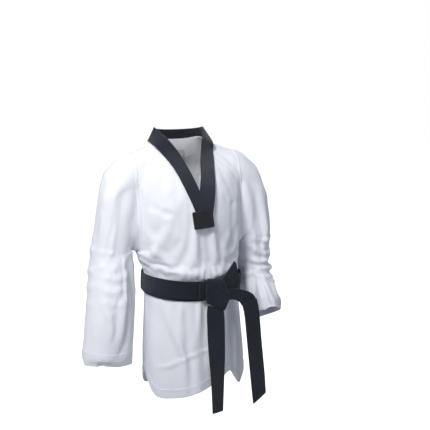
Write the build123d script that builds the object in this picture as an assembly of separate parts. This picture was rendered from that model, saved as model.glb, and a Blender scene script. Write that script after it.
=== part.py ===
from build123d import *
import math
import os

# Martial arts jacket with its tied belt, in its worn shape and hollow inside.
# Millimetres, +Z up. The wearer faces -Y and the wearer's left is +X.
# Origin: centre of the jacket's hem opening, on the hem plane, below the neck.

# ------------------------------------------------------------------ dimensions
CLOTH_T = 1.4            # body cloth
FACING_T = 0.9           # folded hems, vent facings and shoulder linings
FACING_GAP = 0.35        # clearance between a facing and the cloth it is sewn to
SEAM_GAP = 1.0           # room left at a seam line

# Torso sections: height, centre x, centre y, half width, half depth
TORSO = [
    (0, 12, -48, 149, 113),
    (90, 11, -46, 147, 112),
    (180, 10, -44, 142, 108),
    (250, 9, -42, 134, 102),
    (272, 9, -41, 131, 99.7),
    (296, 9, -40, 129, 97.5),
    (320, 8, -39, 131, 99.7),
    (345, 6, -37, 138, 104),
    (392, 2, -31, 147, 111),
    (470, 1, -24, 157, 115),
    (540, 0, -14, 161, 110),
    (590, 0, -5, 163, 90),
    (620, 0, 0, 158, 66),
    (648, 0, 3, 124, 48),
    (674, 0, 5, 84, 40),
    (688, 0, 6, 68, 36),
]
NECK_TOP = TORSO[-1][0]  # height of the shoulder seam at the neck
NECK_HALF = 68.0         # half width of the neckline at the shoulder
V_FOOT_Z = 556.0         # height of the V's foot
SIDE_X = 118.0           # seams of the side panels
ARMHOLE_X = 143.0        # armhole seams, either side of the centre
ARMHOLE_GAP = 3.0        # body and sleeve each stop this far from the seam
ARMPIT_Z = 394.0         # height of the underarm point
WAIST_TOP = 273.0        # lower edge of the body panels
WAIST_LOW = 268.0        # upper edge of the skirt
BODY_HEIGHTS = [
    WAIST_TOP, 296, 320, 345, 370, 392, 430, 470, 505, 540,
    566, 590, 606, 620, 634, 648, 661, 674, NECK_TOP,
]
LINING_HEIGHTS = BODY_HEIGHTS[11:17]
SKIRT_HEIGHTS = [0, 45, 90, 135, 180, 215, 250, WAIST_LOW]

LAPEL_W = 40.0           # collar band width
LAPEL_T = 2.8            # collar band thickness
LAPEL_OFFSET = LAPEL_T / 2 + 3.2   # from the torso's front to the lapel's middle
LAPEL_LIFT = LAPEL_T + 1.2         # lifts the left lapel over the right one
CORE_T = 1.2             # core inside webbing or collar band
CORE_SIDE = 3.0          # core is this much narrower each side

HEM_BOTTOM, HEM_TOP = 2.0, 24.0    # folded hem of the skirt
VENT_Y = -45.0           # side vents lie on this plane
VENT_GAP = 4.0           # opening of each side vent
VENT_FACING_W = 18.0     # facing along the side vents
TACK_HALF_W = 14.0       # half width of the patch at the head of a vent

BELT_W = 48.0            # belt webbing width
BELT_T = 3.2             # belt webbing thickness
BELT_Z = 296.0           # height of the belt's centre line
BELT_A, BELT_B = 133.7, 101.8      # inner half width and half depth of the first wrap
BELT_CX, BELT_CY = 9.0, -40.0      # centre of the waist
WRAP_GAP = 0.5           # clearance between the two wraps
WRAP_FRONT = BELT_CY - BELT_B - 2 * BELT_T - WRAP_GAP   # front of the outer wrap

KNOT_X = 29.0
KNOT_LOWER_Y = (WRAP_FRONT - 7.5, WRAP_FRONT - 0.8)     # layer next to the belt
KNOT_UPPER_Y = (WRAP_FRONT - 17.0, WRAP_FRONT - 8.3)    # layer in front of it
ARCH_Y = WRAP_FRONT - 11.0         # middle of the arch's first sections
TURN_Y = ARCH_Y + 1.5              # middle of its turn and of the left tail's top
FAN_X, FAN_Z = 96.0, 262.5         # centre of the left tail's turn
FAN_RADIUS = 5.0                   # inner radius of that turn
RIGHT_TAIL_LEN = 292.0
LEFT_TAIL_LEN = 256.0

ELBOW_Z = 335.0          # height of both elbow bend axes
RIGHT_ELBOW_Y, LEFT_ELBOW_Y = -28.0, -4.0   # depths of the bend axes
LEFT_REST_BEND = 28.0    # the left forearm is bent forward by this much, degrees
ELBOW_WEDGE = 44.0       # half of the wedge left open for the bend, degrees
ELBOW_GAP = 0.7          # half of the gap between upper and lower sleeve
CUFF_Z = 117.0           # height of the right sleeve's open end
LEFT_CUFF_Z = 175.0      # the same for the left sleeve before its forearm is bent
CUFF_HEM_H = 32.0        # height of the cuff hem
FACETS = 28              # facets round a sleeve section

SIDES = (("right", -1), ("left", 1))

# Reach of cutting solids, well outside the jacket
FAR_X, FAR_Y = 400, 300
ALL_X, ALL_Y, ALL_Z = (-FAR_X, FAR_X), (-FAR_Y, FAR_Y), (-10, 800)


# --------------------------------------------------------------------- helpers
def torso(z):
    """Centre and half axes of the section at z, on a smooth curve through TORSO."""
    if z <= TORSO[0][0]:
        return TORSO[0][1:]
    if z >= TORSO[-1][0]:
        return TORSO[-1][1:]
    last = len(TORSO) - 1
    i = max(k for k in range(last) if TORSO[k][0] <= z)
    low, high = TORSO[i], TORSO[i + 1]
    before, after = TORSO[max(i - 1, 0)], TORSO[min(i + 2, last)]
    step = high[0] - low[0]
    t = (z - low[0]) / step
    section = []
    for k in range(1, 5):
        low_slope = (high[k] - before[k]) / (high[0] - before[0])
        high_slope = (after[k] - low[k]) / (after[0] - low[0])
        section.append(
            (2 * t**3 - 3 * t**2 + 1) * low[k]
            + (t**3 - 2 * t**2 + t) * step * low_slope
            + (-2 * t**3 + 3 * t**2) * high[k]
            + (t**3 - t**2) * step * high_slope
        )
    return tuple(section)


def front_y(x, z):
    """Depth of the torso's front surface at (x, z)."""
    cx, cy, half_width, half_depth = torso(z)
    across = abs(x - cx) / half_width
    return cy - half_depth * math.sqrt(1 - across * across)


def ring(heights, outer_inset, inner_inset):
    """Hollow torso wall between two insets from the section outline."""
    solids = []
    for inset, extra in ((outer_inset, 0.0), (inner_inset, 0.4)):
        levels = list(heights)
        levels[0] -= extra
        levels[-1] += extra
        sections = []
        for z in levels:
            cx, cy, half_width, half_depth = torso(z)
            sections.append(Plane((cx, cy, z)) * Ellipse(half_width - inset, half_depth - inset))
        solids.append(loft(sections, ruled=True))
    return solids[0] - solids[1]


def facing_ring(heights):
    """Second ply, just inside the cloth."""
    inset = CLOTH_T + FACING_GAP
    return ring(heights, inset, inset + FACING_T)


def block(x=ALL_X, y=ALL_Y, z=ALL_Z):
    """Box between pairs of limits, each pair in either order."""
    spans = (x, y, z)
    centre = [(a + b) / 2 for a, b in spans]
    return Pos(*centre) * Box(*[abs(b - a) for a, b in spans])


def counter_clockwise(points):
    """The outline's corners, turned round if they run clockwise."""
    area = sum(p[0] * q[1] - q[0] * p[1] for p, q in zip(points, points[1:] + points[:1]))
    return points if area > 0 else points[::-1]


def prism_xz(points, y0, y1):
    """Prism over an outline in the x-z plane, from y0 to y1."""
    face = Plane.XZ * Polygon(*counter_clockwise(points), align=None)
    return Pos(0, y1, 0) * extrude(face, amount=y1 - y0)


def prism_yz(points, x0, x1):
    """Prism over an outline in the y-z plane, from x0 to x1."""
    face = Plane.YZ * Polygon(*counter_clockwise(points), align=None)
    return Pos(x0, 0, 0) * extrude(face, amount=x1 - x0)


def symmetric(points):
    """Closed outline from its +X half and the mirror image of that half."""
    return points + [(-x, z) for x, z in reversed(points)]


def ribbon(frames, width, thick):
    """Loft of rectangles. A frame is (point, width direction, face normal)."""
    sections = []
    for point, width_dir, normal in frames:
        across = Vector(*width_dir).normalized()
        facing = Vector(*normal)
        facing = (facing - across * facing.dot(across)).normalized()
        plane = Plane(origin=Vector(*point), x_dir=across, z_dir=across.cross(facing))
        sections.append(plane * Rectangle(width, thick))
    return loft(sections, ruled=True)


def stretched(frames, by):
    """The same ribbon path, made longer at both ends."""

    def beyond(end, neighbour):
        tip = Vector(*end[0])
        moved = tip + (tip - Vector(*neighbour[0])).normalized() * by
        return (tuple(moved), *end[1:])

    return [beyond(frames[0], frames[1]), *frames[1:-1], beyond(frames[-1], frames[-2])]


def tape(frames, width, thick):
    """A folded tape, open at its ends, and the core that lies inside it."""
    core_width = width - 2 * CORE_SIDE
    outer = ribbon(frames, width, thick)
    hollow = ribbon(stretched(frames, 0.6), core_width + 1.0, CORE_T + 0.5)
    return outer - hollow, ribbon(frames, core_width, CORE_T)


# ------------------------------------------------------------ body of the jacket
# +X halves of the neck openings: x, z
V_EDGE = [(66, 700), (60, 676), (38, 645), (22, 602), (3, V_FOOT_Z)]
BACK_SCOOP_EDGE = [(NECK_HALF - 2, 700), (NECK_HALF - 10, 668)]
# Regions of the front and back bodies, seen from the side: y, z
FRONT_REGION = [
    (-300, 200), (-36, 200), (-31, 395), (1.5, 600), (1.5, 800), (-300, 800),
]
BACK_REGION = [
    (300, 200), (-35, 200), (-30, 395), (2.5, 600), (2.5, 800), (300, 800),
]


def body_panels():
    """Front, back and two side panels."""
    shell = ring(BODY_HEIGHTS, 0.0, CLOTH_T)
    armhole_x = ARMHOLE_X - ARMHOLE_GAP
    above_armpit = (ARMPIT_Z + 1, 760)
    shell = shell - (
        block(x=(-FAR_X, -armhole_x), z=above_armpit) + block(x=(armhole_x, FAR_X), z=above_armpit)
    )
    core = shell
    panels = {}
    for name, side in SIDES:
        seam_zone = block(x=(side * (SIDE_X - SEAM_GAP), side * FAR_X), z=(200, ARMPIT_Z + 1))
        core = core - seam_zone
        panel_zone = block(x=(side * SIDE_X, side * FAR_X), z=(200, ARMPIT_Z))
        panels[f"{name}_side_panel"] = shell & panel_zone
    v_cut = prism_xz(symmetric(V_EDGE), -300, 1.6)
    back_scoop = prism_xz(symmetric(BACK_SCOOP_EDGE), 0, 300)
    panels["front_body"] = (core & prism_yz(FRONT_REGION, *ALL_X)) - v_cut
    panels["back_body"] = (core & prism_yz(BACK_REGION, *ALL_X)) - back_scoop
    return panels


def shoulder_linings():
    """A second ply inside the front of each shoulder, from neck to armhole."""
    lining = facing_ring(LINING_HEIGHTS) & block(y=(-60, 1.5), z=(606, 655))
    return {
        f"{name}_shoulder_lining": lining & block(x=(side * (NECK_HALF + 4), side * 136))
        for name, side in SIDES
    }


# ---------------------------------------------------------------- collar band
# Middle of the lapel up the front: x, z, share of the lift
LAPEL_PATH = [
    (3.0, 514.0, 1.5),
    (9.0, 532.0, 1.5),
    (17.5, 556.0, 1.5),
    (29.5, 600.0, 0.5),
    (45.0, 645.0, 0.0),
]
# Over the shoulder: point, width direction, face normal, on the +X side
LAPEL_SHOULDER = [
    ((62.0, -31.0, 676.0), (0.80, 0.05, -0.60), (0.52, -0.50, 0.69)),
    ((75.0, -2.0, 699.0), (0.62, 0.12, -0.78), (0.78, -0.05, 0.62)),
]
LAPEL_REACH = 14.0       # the torso's slope is taken this far to each side of the path
BACK_NECK_A, BACK_NECK_B = 75.0, 45.0   # half width and half depth of the back neck arc


def lapel_frames(side, lift):
    """Frames from below the V's foot to the shoulder, raised by lift over the other lapel."""
    frames = []
    for i, (x, z, share) in enumerate(LAPEL_PATH):
        k = min(i, len(LAPEL_PATH) - 2)
        dx = LAPEL_PATH[k + 1][0] - LAPEL_PATH[k][0]
        dz = LAPEL_PATH[k + 1][1] - LAPEL_PATH[k][1]
        length = math.hypot(dx, dz)
        dx, dz = dx / length, dz / length
        reach_x, reach_z = LAPEL_REACH * dz, LAPEL_REACH * dx
        surface = front_y(x, z)
        outer_y = front_y(x + reach_x, z - reach_z)
        inner_y = front_y(max(0, x - reach_x), z + reach_z)
        width_dir = Vector(2 * reach_x, outer_y - inner_y, -2 * reach_z)
        tangent = Vector(dx, front_y(x + dx, z + dz) - surface, dz)
        normal = width_dir.normalized().cross(tangent.normalized())
        point = (x, surface - LAPEL_OFFSET - lift * share, z)
        frames.append((point, tuple(width_dir), tuple(normal)))
    return [
        tuple((side * vx, vy, vz) for vx, vy, vz in frame) for frame in frames + LAPEL_SHOULDER
    ]


def back_neck_frames():
    """Frames round the back of the neck, from the left shoulder to the right."""
    frames = []
    for angle in (8, 30, 52, 74, 90, 106, 128, 150, 172):
        cos, sin = math.cos(math.radians(angle)), math.sin(math.radians(angle))
        lean = 0.6 * abs(cos) + 0.12
        point = (BACK_NECK_A * cos, BACK_NECK_B * sin, 700.0 - 10.0 * sin)
        frames.append((point, (cos * lean, sin * lean, -1.0), (cos, sin, lean)))
    return frames


def collar():
    """Two lapels and the back neck band, each with its core."""
    pieces = {}
    for name, core_name, frames in (
        ("right_lapel", "right_lapel_core", lapel_frames(-1, 0.0)),
        ("left_lapel", "left_lapel_core", lapel_frames(1, LAPEL_LIFT)),
        ("back_neck_band", "back_neck_core", back_neck_frames()),
    ):
        pieces[name], pieces[core_name] = tape(frames, LAPEL_W, LAPEL_T)
    return pieces


def neck_patch():
    """Patch sewn over the lapels below the foot of the V."""
    y = front_y(0, 487) - LAPEL_T * 2 - 5.6
    return Pos(4, y, 486) * Rot(X=-6) * Box(55.0, 1.2, 44.0)


def neck_label():
    """Blank label inside the back neck."""
    _, cy, _, half_depth = torso(654)
    return Pos(0, cy + half_depth - 9.0, 640) * Box(42, 0.6, 30)


# ----------------------------------------------------------------------- skirt
# Rounded lower corner of a flap: distance from its vent edge, z
FLAP_CORNER = [(0, -5), (0, 30), (6, 16), (18, 6), (34, 0.5), (40, -5)]


def skirt_panels():
    """Front and back flaps with their hems and vent facings."""
    skirt = ring(SKIRT_HEIGHTS, 0.0, CLOTH_T)
    inner = facing_ring(SKIRT_HEIGHTS)
    hem_band = block(z=(HEM_BOTTOM, HEM_TOP))
    pieces = {}
    for flap, way in (("front", -1), ("back", 1)):
        edge = VENT_Y + way * VENT_GAP / 2
        far = way * FAR_Y
        corner = [(edge + way * (across - 1), z) for across, z in FLAP_CORNER]
        pieces[f"{flap}_skirt"] = (skirt & block(y=(edge, far))) - prism_yz(corner, *ALL_X)
        pieces[f"{flap}_hem"] = inner & hem_band & block(y=(edge + way * 36, far))
        facing_y = (edge + way * VENT_FACING_W, edge + way * 0.6)
        strip = inner & block(y=facing_y, z=(34, 262))
        for name, side in SIDES:
            pieces[f"{flap}_{name}_vent_facing"] = strip & block(x=(0, side * FAR_X))
    return pieces


def vent_tacks():
    """Patches at the head of each side vent, outside the side panels."""
    tack = ring([WAIST_TOP, 296, 320], -1.3, -0.45)
    tack = tack & block(y=(VENT_Y - TACK_HALF_W, VENT_Y + TACK_HALF_W), z=(275, 317))
    return {f"{name}_vent_tack": tack & block(x=(0, side * FAR_X)) for name, side in SIDES}


# ---------------------------------------------------------------------- belt
# Knot pieces: name, outline (x, z), depth limits, edge radius
KNOT = [
    ("knot_wing",
     [(56, 290), (56, 328), (75, 352), (89, 370), (96, 361), (106, 316), (99, 302), (78, 299)],
     KNOT_LOWER_Y, 1.2),
    ("knot_under_band",
     [(-12, 279), (50, 272), (51, 318), (-9, 325)],
     KNOT_LOWER_Y, 2.0),
    ("knot_over_band",
     [(5, 268), (54, 252), (72, 281), (52, 328), (9, 330)],
     KNOT_UPPER_Y, 3.0),
]
# Turn of the left tail: angle above +X in degrees, middle radius less
# FAN_RADIUS as a share of half the belt width
ARCH_TURN = [(72, 0.80), (52, 0.80), (34, 0.92), (16, 1.0), (2, 1.0)]
TAIL_STEPS = 6


def belt_wrap(gap, middle_z):
    """One turn of belt round the waist, gap outside the first wrap's inner face."""
    a, b = BELT_A + gap, BELT_B + gap
    base = Plane((BELT_CX, BELT_CY, middle_z - BELT_W / 2))
    outer = extrude(base * Ellipse(a + BELT_T, b + BELT_T), amount=BELT_W)
    return outer - extrude(base * Ellipse(a, b), amount=BELT_W)


def knot():
    """Lower wing and crossing band, and the band in front of them."""
    pieces = {}
    for name, outline, depth, radius in KNOT:
        piece = prism_xz(outline, *depth)
        pieces[name] = fillet(piece.edges(), radius)
    return pieces


def left_tail_arch():
    """The left end leaves the knot sideways and turns down."""
    frames = [
        ((76.0, ARCH_Y, 278.5), (0.12, 0, 1), (0, -1, 0)),
        ((88.0, ARCH_Y, 279.5), (0.10, 0, 1), (0, -1, 0.05)),
    ]
    for angle, share in ARCH_TURN:
        cos, sin = math.cos(math.radians(angle)), math.sin(math.radians(angle))
        radius = FAN_RADIUS + BELT_W / 2 * share
        point = (FAN_X + radius * cos, TURN_Y, FAN_Z + radius * sin)
        frames.append((point, (cos, 0, sin), (0, -1, 0)))
    return ribbon(frames, BELT_W * 0.82, BELT_T)


def belt_tail(name, top, foot_x, foot_y, twist, length):
    """Hanging tail, its core and end binding. twist turns its foot about Z, degrees."""
    x, y, z = top
    frames = []
    for i in range(TAIL_STEPS + 1):
        t = i / TAIL_STEPS
        cos, sin = math.cos(math.radians(twist * t * t)), math.sin(math.radians(twist * t * t))
        point = (x + (foot_x - x) * t, y + (foot_y - y) * t, z - length * t)
        frames.append((point, (cos, sin, 0), (sin, -cos, 0)))
    webbing, core = tape(frames, BELT_W, BELT_T)
    (x, y, z), across, normal = frames[-1]
    binding = [((x, y, z - drop), across, normal) for drop in (0.6, 4.6)]
    return {
        name: webbing,
        f"{name}_core": core,
        f"{name}_end": ribbon(binding, BELT_W, BELT_T),
    }


def belt_tails():
    """Right tail straight below the knot, left tail below the arch."""
    right_top = (KNOT_X, WRAP_FRONT - 12.5, 250.5)
    left_top = (FAN_X + FAN_RADIUS + BELT_W / 2, TURN_Y, 259.0)
    return {
        **belt_tail("right_tail", right_top, foot_x=KNOT_X + 8, foot_y=WRAP_FRONT - 27.0,
                    twist=30, length=RIGHT_TAIL_LEN),
        **belt_tail("left_tail", left_top, foot_x=FAN_X + 49, foot_y=ARCH_Y - 16.0,
                    twist=25, length=LEFT_TAIL_LEN),
    }


# -------------------------------------------------------------------- sleeves
# Both sleeves are built on the +X side with the elbow straight.
# Arm sections from the armpit down: height, centre x, centre y, half width, half depth
RIGHT_ARM = [
    (ARMPIT_Z, 207.5, -14, 53.5, 67),
    (360, 211.5, -24, 57, 67),
    (320, 216.0, -38, 61, 66),
    (270, 221.0, -52, 64, 66),
    (200, 231.5, -70, 66, 57),
    (CUFF_Z, 242.0, -88, 70, 43),
]
LEFT_ARM = [
    (ARMPIT_Z, 205.0, -8, 49, 67),
    (360, 206.0, -6, 48, 67),
    (320, 206.5, -4, 47, 67),
    (270, 207.5, -6, 45, 69),
    (220, 210.0, -10, 39, 73),
    (LEFT_CUFF_Z, 214.0, -14, 33, 79),
]
# Shoulder sections, turned about an axis at the armpit: degrees from upright,
# near and far edge from the axis, half depth
SHOULDER_FAN = [
    (0, 5, 237, 62),
    (15, 7, 212, 66),
    (32, 7, 155, 68),
    (52, 6, 119, 69),
    (72, 4, 107, 68),
]
SHOULDER_AXIS_X = 152.0
SHOULDER_Y = -6


def oval(plane, half_depth, half_width):
    """Faceted oval whose first corner always lies in the same direction."""
    angles = [2 * math.pi * (k + 0.5) / FACETS for k in range(FACETS)]
    points = [(half_depth * math.cos(t), half_width * math.sin(t)) for t in angles]
    return plane * Polygon(*points, align=None)


def shoulder_sections(inset):
    """Sections that swing from the armhole plane down to the arm."""
    sections = []
    for angle, near, far, depth in SHOULDER_FAN:
        cos, sin = math.cos(math.radians(angle)), math.sin(math.radians(angle))
        middle = (near + far) / 2
        x = ARMHOLE_X + ARMHOLE_GAP if angle == 0 else SHOULDER_AXIS_X + middle * sin
        plane = Plane(
            origin=(x, SHOULDER_Y, ARMPIT_Z + middle * cos), x_dir=(0, 1, 0), z_dir=(cos, 0, -sin)
        )
        sections.append(oval(plane, depth - inset, (far - near) / 2 - inset))
    return sections


def arm_sections(rows, inset):
    """Level sections of the arm."""
    return [
        oval(Plane(origin=(x, y, z), x_dir=(0, 1, 0), z_dir=(0, 0, -1)), depth - inset, width - inset)
        for z, x, y, width, depth in rows
    ]


def tube(sections_at, inset=0.0, wall=CLOTH_T):
    """Hollow loft. sections_at gives the sections for an inset."""
    return loft(sections_at(inset), ruled=True) - loft(sections_at(inset + wall), ruled=True)


def arm_at(table, z):
    """Arm section at height z, between two rows of its table."""
    rows = sorted(table)
    low, high = next(pair for pair in zip(rows, rows[1:]) if pair[0][0] <= z <= pair[1][0])
    t = (z - low[0]) / (high[0] - low[0])
    return (z,) + tuple(low[k] + (high[k] - low[k]) * t for k in range(1, 5))


def elbow_cutter(elbow_y, way, far_z):
    """Takes away the sleeve beyond the elbow and half the wedge in front of it."""
    level = ELBOW_Z + way * ELBOW_GAP
    rise = (elbow_y + FAR_Y) * math.tan(math.radians(ELBOW_WEDGE))
    outline = [
        (FAR_Y, level), (elbow_y, level), (-FAR_Y, level + way * rise),
        (-FAR_Y, far_z), (FAR_Y, far_z),
    ]
    return prism_yz(outline, 0, 500)


def sleeve(table, elbow_y):
    """Upper sleeve, lower sleeve and cuff hem, keyed by name."""
    upper = tube(lambda inset: shoulder_sections(inset) + arm_sections(table[:4], inset))
    lower = tube(lambda inset: arm_sections(table[1:], inset))
    end_z = table[-1][0]
    hem_rows = [arm_at(table, end_z + rise) for rise in (CUFF_HEM_H, CUFF_HEM_H / 2, 1.0)]
    return {
        "upper_sleeve": upper - elbow_cutter(elbow_y, 1, -200),
        "lower_sleeve": lower - elbow_cutter(elbow_y, -1, 800),
        "cuff_hem": tube(lambda inset: arm_sections(hem_rows, inset), CLOTH_T + 0.7, FACING_T),
    }


def sleeves():
    """Left sleeve with its forearm bent, right sleeve mirrored to -X."""
    elbow_axis = Axis((0, LEFT_ELBOW_Y, ELBOW_Z), (-1, 0, 0))
    pieces = {}
    for name, piece in sleeve(LEFT_ARM, LEFT_ELBOW_Y).items():
        if name != "upper_sleeve":
            piece = piece.rotate(elbow_axis, LEFT_REST_BEND)
        pieces[f"left_{name}"] = piece
    for name, piece in sleeve(RIGHT_ARM, RIGHT_ELBOW_Y).items():
        pieces[f"right_{name}"] = mirror(piece, about=Plane.YZ)
    return pieces


# --------------------------------------------------------------------- export
parts = {
    **body_panels(),
    **shoulder_linings(),
    **collar(),
    "neck_patch": neck_patch(),
    "neck_label": neck_label(),
    **skirt_panels(),
    **vent_tacks(),
    "belt_inner_wrap": belt_wrap(0.0, BELT_Z),
    "belt_outer_wrap": belt_wrap(BELT_T + WRAP_GAP, BELT_Z + 1.5),
    **knot(),
    "left_tail_arch": left_tail_arch(),
    **belt_tails(),
    **sleeves(),
}

os.makedirs("parts", exist_ok=True)
for name, shape in parts.items():
    solids = shape.solids()
    piece = Compound(children=list(solids)) if len(solids) > 1 else solids[0]
    export_step(piece, f"parts/{name}.step")
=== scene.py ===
"""A white wrap jacket with a knotted black belt, shaped as if worn by nobody.

Metres, +Z up, front hem near z = 0. The wearer faces -Y, so the wearer's right is -X. The left
forearm is bent forwards. One grid of cloth is sewn together, draped over a plain form, refined,
and then cut into the jacket's pieces.
"""
import math

import bmesh
import bpy
import numpy as np
from mathutils import Matrix, Vector
from mathutils.bvhtree import BVHTree


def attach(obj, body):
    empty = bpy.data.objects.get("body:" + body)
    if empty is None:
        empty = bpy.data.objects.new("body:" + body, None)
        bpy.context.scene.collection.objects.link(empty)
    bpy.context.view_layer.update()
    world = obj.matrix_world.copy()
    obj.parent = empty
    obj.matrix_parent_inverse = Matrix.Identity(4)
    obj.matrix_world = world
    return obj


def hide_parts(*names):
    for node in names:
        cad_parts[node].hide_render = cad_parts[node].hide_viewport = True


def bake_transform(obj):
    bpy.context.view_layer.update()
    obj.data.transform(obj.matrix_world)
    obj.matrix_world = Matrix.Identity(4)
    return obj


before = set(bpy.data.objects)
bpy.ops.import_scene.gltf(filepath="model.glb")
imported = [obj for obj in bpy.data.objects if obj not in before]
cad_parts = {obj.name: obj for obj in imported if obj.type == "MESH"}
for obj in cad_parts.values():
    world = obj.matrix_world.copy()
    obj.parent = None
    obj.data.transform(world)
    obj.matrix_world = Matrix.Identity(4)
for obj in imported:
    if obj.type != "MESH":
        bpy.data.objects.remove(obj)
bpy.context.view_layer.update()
random = np.random.default_rng(7).uniform
MM = 0.001
SIDES = ((-1, "right"), (1, "left"))    # sign of x, wearer's side

# ---------------------------------------------------------------- driving sizes
ARM_X = 0.143            # armhole seam
PIT_Z = 0.394            # underarm point
NECK_X = 0.068           # neck point of the shoulder seam
BELT_Z = 0.296           # middle of the waist, where the belt holds the cloth
BELT_CENTRE = (.009, -.040)
SPLIT_Z = 0.297          # below this the cloth counts as skirt
FLAP_TOP, FLAP_FULL = 0.266, 0.131    # where the skirt's swing starts, and where it is full
VENT_TOP = 0.262
HEM = 0.024
ELBOW_SEAM = 0.352       # where the upper and lower sleeve pieces meet
ELBOW_END = 0.222        # where the elbow's turn is complete
ELBOW_Y, ELBOW_Z = -0.004, 0.335      # axis of the left elbow
LEFT_BEND = math.radians(28.0)
CLOTH = 0.0014           # thickness of one ply
GROOVE = 0.00034         # depth of the sewn channels in straps

# Torso sections in mm: z, centre x, centre y, half width, half depth
TORSO = np.array([
    (0, 12, -48, 149, 113), (90, 11, -46, 147, 112), (180, 10, -44, 142, 108),
    (250, 9, -42, 134, 102), (272, 9, -41, 131, 99.7), (296, 9, -40, 129, 97.5),
    (320, 8, -39, 131, 99.7), (345, 6, -37, 138, 104), (392, 2, -31, 147, 111),
    (470, 1, -24, 157, 115), (540, 0, -14, 161, 110), (590, 0, -5, 163, 90),
    (620, 0, 0, 158, 66), (648, 0, 3, 124, 48), (674, 0, 5, 84, 40),
    (688, 0, 6, 68, 36), (700, 0, 6, 56, 32)], float) * MM
# Hanging part of each sleeve in mm: z, distance out from x = 0, centre y, half width, half depth
ARMS = {
    -1: np.array([
        (117, 242, -88, 70, 43), (200, 231.5, -70, 66, 57), (270, 221, -52, 64, 66),
        (320, 216, -38, 61, 66), (360, 211.5, -24, 57, 67), (394, 207.5, -14, 53.5, 67),
    ], float) * MM,
    1: np.array([
        (175, 214, -14, 33, 79), (220, 210, -10, 39, 73), (270, 207.5, -6, 45, 69),
        (320, 206.5, -4, 47, 67), (360, 206, -6, 48, 67), (394, 205, -8, 49, 67),
    ], float) * MM,
}
# Sleeve head, rings fanned about the underarm: degrees from upright, then mm to the near side,
# mm to the far side, half depth in mm
SLEEVE_HEAD = [(0, 5, 237, 62), (15, 7, 212, 66), (32, 7, 155, 68), (52, 6, 119, 69),
               (72, 4, 107, 68), (90, 2, 109, 67)]
FAR_LEFT = {4: 106, 5: 101}     # far sides that differ on the left sleeve, by row


# ---------------------------------------------------------------- curves and small helpers
def hermite(rows, z):
    """Smooth curve through the rows, read at z; a row's first column is its station."""
    z = np.asarray(z, float)
    stations, values = rows[:, 0], rows[:, 1:]
    i = np.clip(np.searchsorted(stations, z, side="right") - 1, 0, len(rows) - 2)
    slopes = np.zeros(values.shape)
    slopes[1:-1] = (values[2:] - values[:-2]) / (stations[2:] - stations[:-2])[:, None]
    slopes[0] = (values[1] - values[0]) / (stations[1] - stations[0])
    slopes[-1] = (values[-1] - values[-2]) / (stations[-1] - stations[-2])
    gap = (stations[i + 1] - stations[i])[..., None]
    t = ((z - stations[i]) / (stations[i + 1] - stations[i]))[..., None]
    t = np.clip(t, -0.2, 1.2)
    return ((2 * t**3 - 3 * t**2 + 1) * values[i] + (t**3 - 2 * t**2 + t) * gap * slopes[i]
            + (-2 * t**3 + 3 * t**2) * values[i + 1] + (t**3 - t**2) * gap * slopes[i + 1])


def torso(z):
    return hermite(TORSO, z)


def smooth01(t):
    t = np.clip(t, 0, 1)
    return t * t * (3 - 2 * t)


def ramp(t):
    """Nearly straight ramp with softened ends, so no part of a bend turns too fast."""
    t = np.clip(t, 0, 1)
    return 0.72 * t + 0.28 * t * t * (3 - 2 * t)


def unit(v):
    return v / (np.linalg.norm(v, axis=-1, keepdims=True) + 1e-12)


def run_length(points):
    """Distance walked along a line of points, at each point."""
    steps = np.linalg.norm(np.diff(points, axis=0), axis=1)
    return np.concatenate([[0], np.cumsum(steps)])


def along(at, run, points):
    return np.stack([np.interp(at, run, column) for column in points.T], 1)


def sample(points, step, closed=False):
    """Even points along a line, about a step apart."""
    points = np.asarray(points, float)
    if closed:
        points = np.vstack([points, points[:1]])
    run = run_length(points)
    out = along(np.linspace(0, run[-1], max(3, int(run[-1] / step)) + 1), run, points)
    return out[:-1] if closed else out


def smooth_line(points, count):
    """Smooth curve through 3D points."""
    points = np.asarray(points, float)
    steps = np.linalg.norm(np.diff(points, axis=0), axis=1)
    run = np.concatenate([[0], np.cumsum(np.maximum(steps, 1e-6))])
    return hermite(np.hstack([run[:, None], points]), np.linspace(0, run[-1], count))


def normals_of(points, faces):
    diagonals = points[faces[:, 2]] - points[faces[:, 0]], points[faces[:, 3]] - points[faces[:, 1]]
    face_normals = np.cross(*diagonals)
    out = np.zeros_like(points)
    for corner in range(4):
        np.add.at(out, faces[:, corner], face_normals)
    return unit(out)


def grid_faces(rows, size, closed=False):
    """Quads between rings of equal size; closed joins the last ring to the first."""
    faces = []
    for i in range(rows if closed else rows - 1):
        here, there = i * size, (i + 1) % rows * size
        for j in range(size):
            k = (j + 1) % size
            faces.append([here + j, here + k, there + k, there + j])
    return faces


def facing(points, faces, probe, direction):
    """The faces, all turned round if the probed quad looks away from the direction."""
    quad = faces[probe]
    normal = np.cross(points[quad[1]] - points[quad[0]], points[quad[3]] - points[quad[0]])
    return [face[::-1] for face in faces] if normal @ direction < 0 else faces


def loft(rings):
    """Closed body through rings, with a fan of triangles at each end."""
    size = len(rings[0])
    faces = grid_faces(len(rings), size)
    first = len(rings) * size
    last_ring = first - size
    for j in range(size):
        faces.append([(j + 1) % size, j, first])
    for j in range(size):
        faces.append([last_ring + j, last_ring + (j + 1) % size, first + 1])
    return np.vstack(rings + [rings[0].mean(0), rings[-1].mean(0)]), faces


def mesh_object(name, points, faces):
    data = bpy.data.meshes.new(name)
    data.from_pydata([tuple(p) for p in points], [], [tuple(int(i) for i in f) for f in faces])
    data.update()
    made = bpy.data.objects.new(name, data)
    bpy.context.scene.collection.objects.link(made)
    return made


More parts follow.
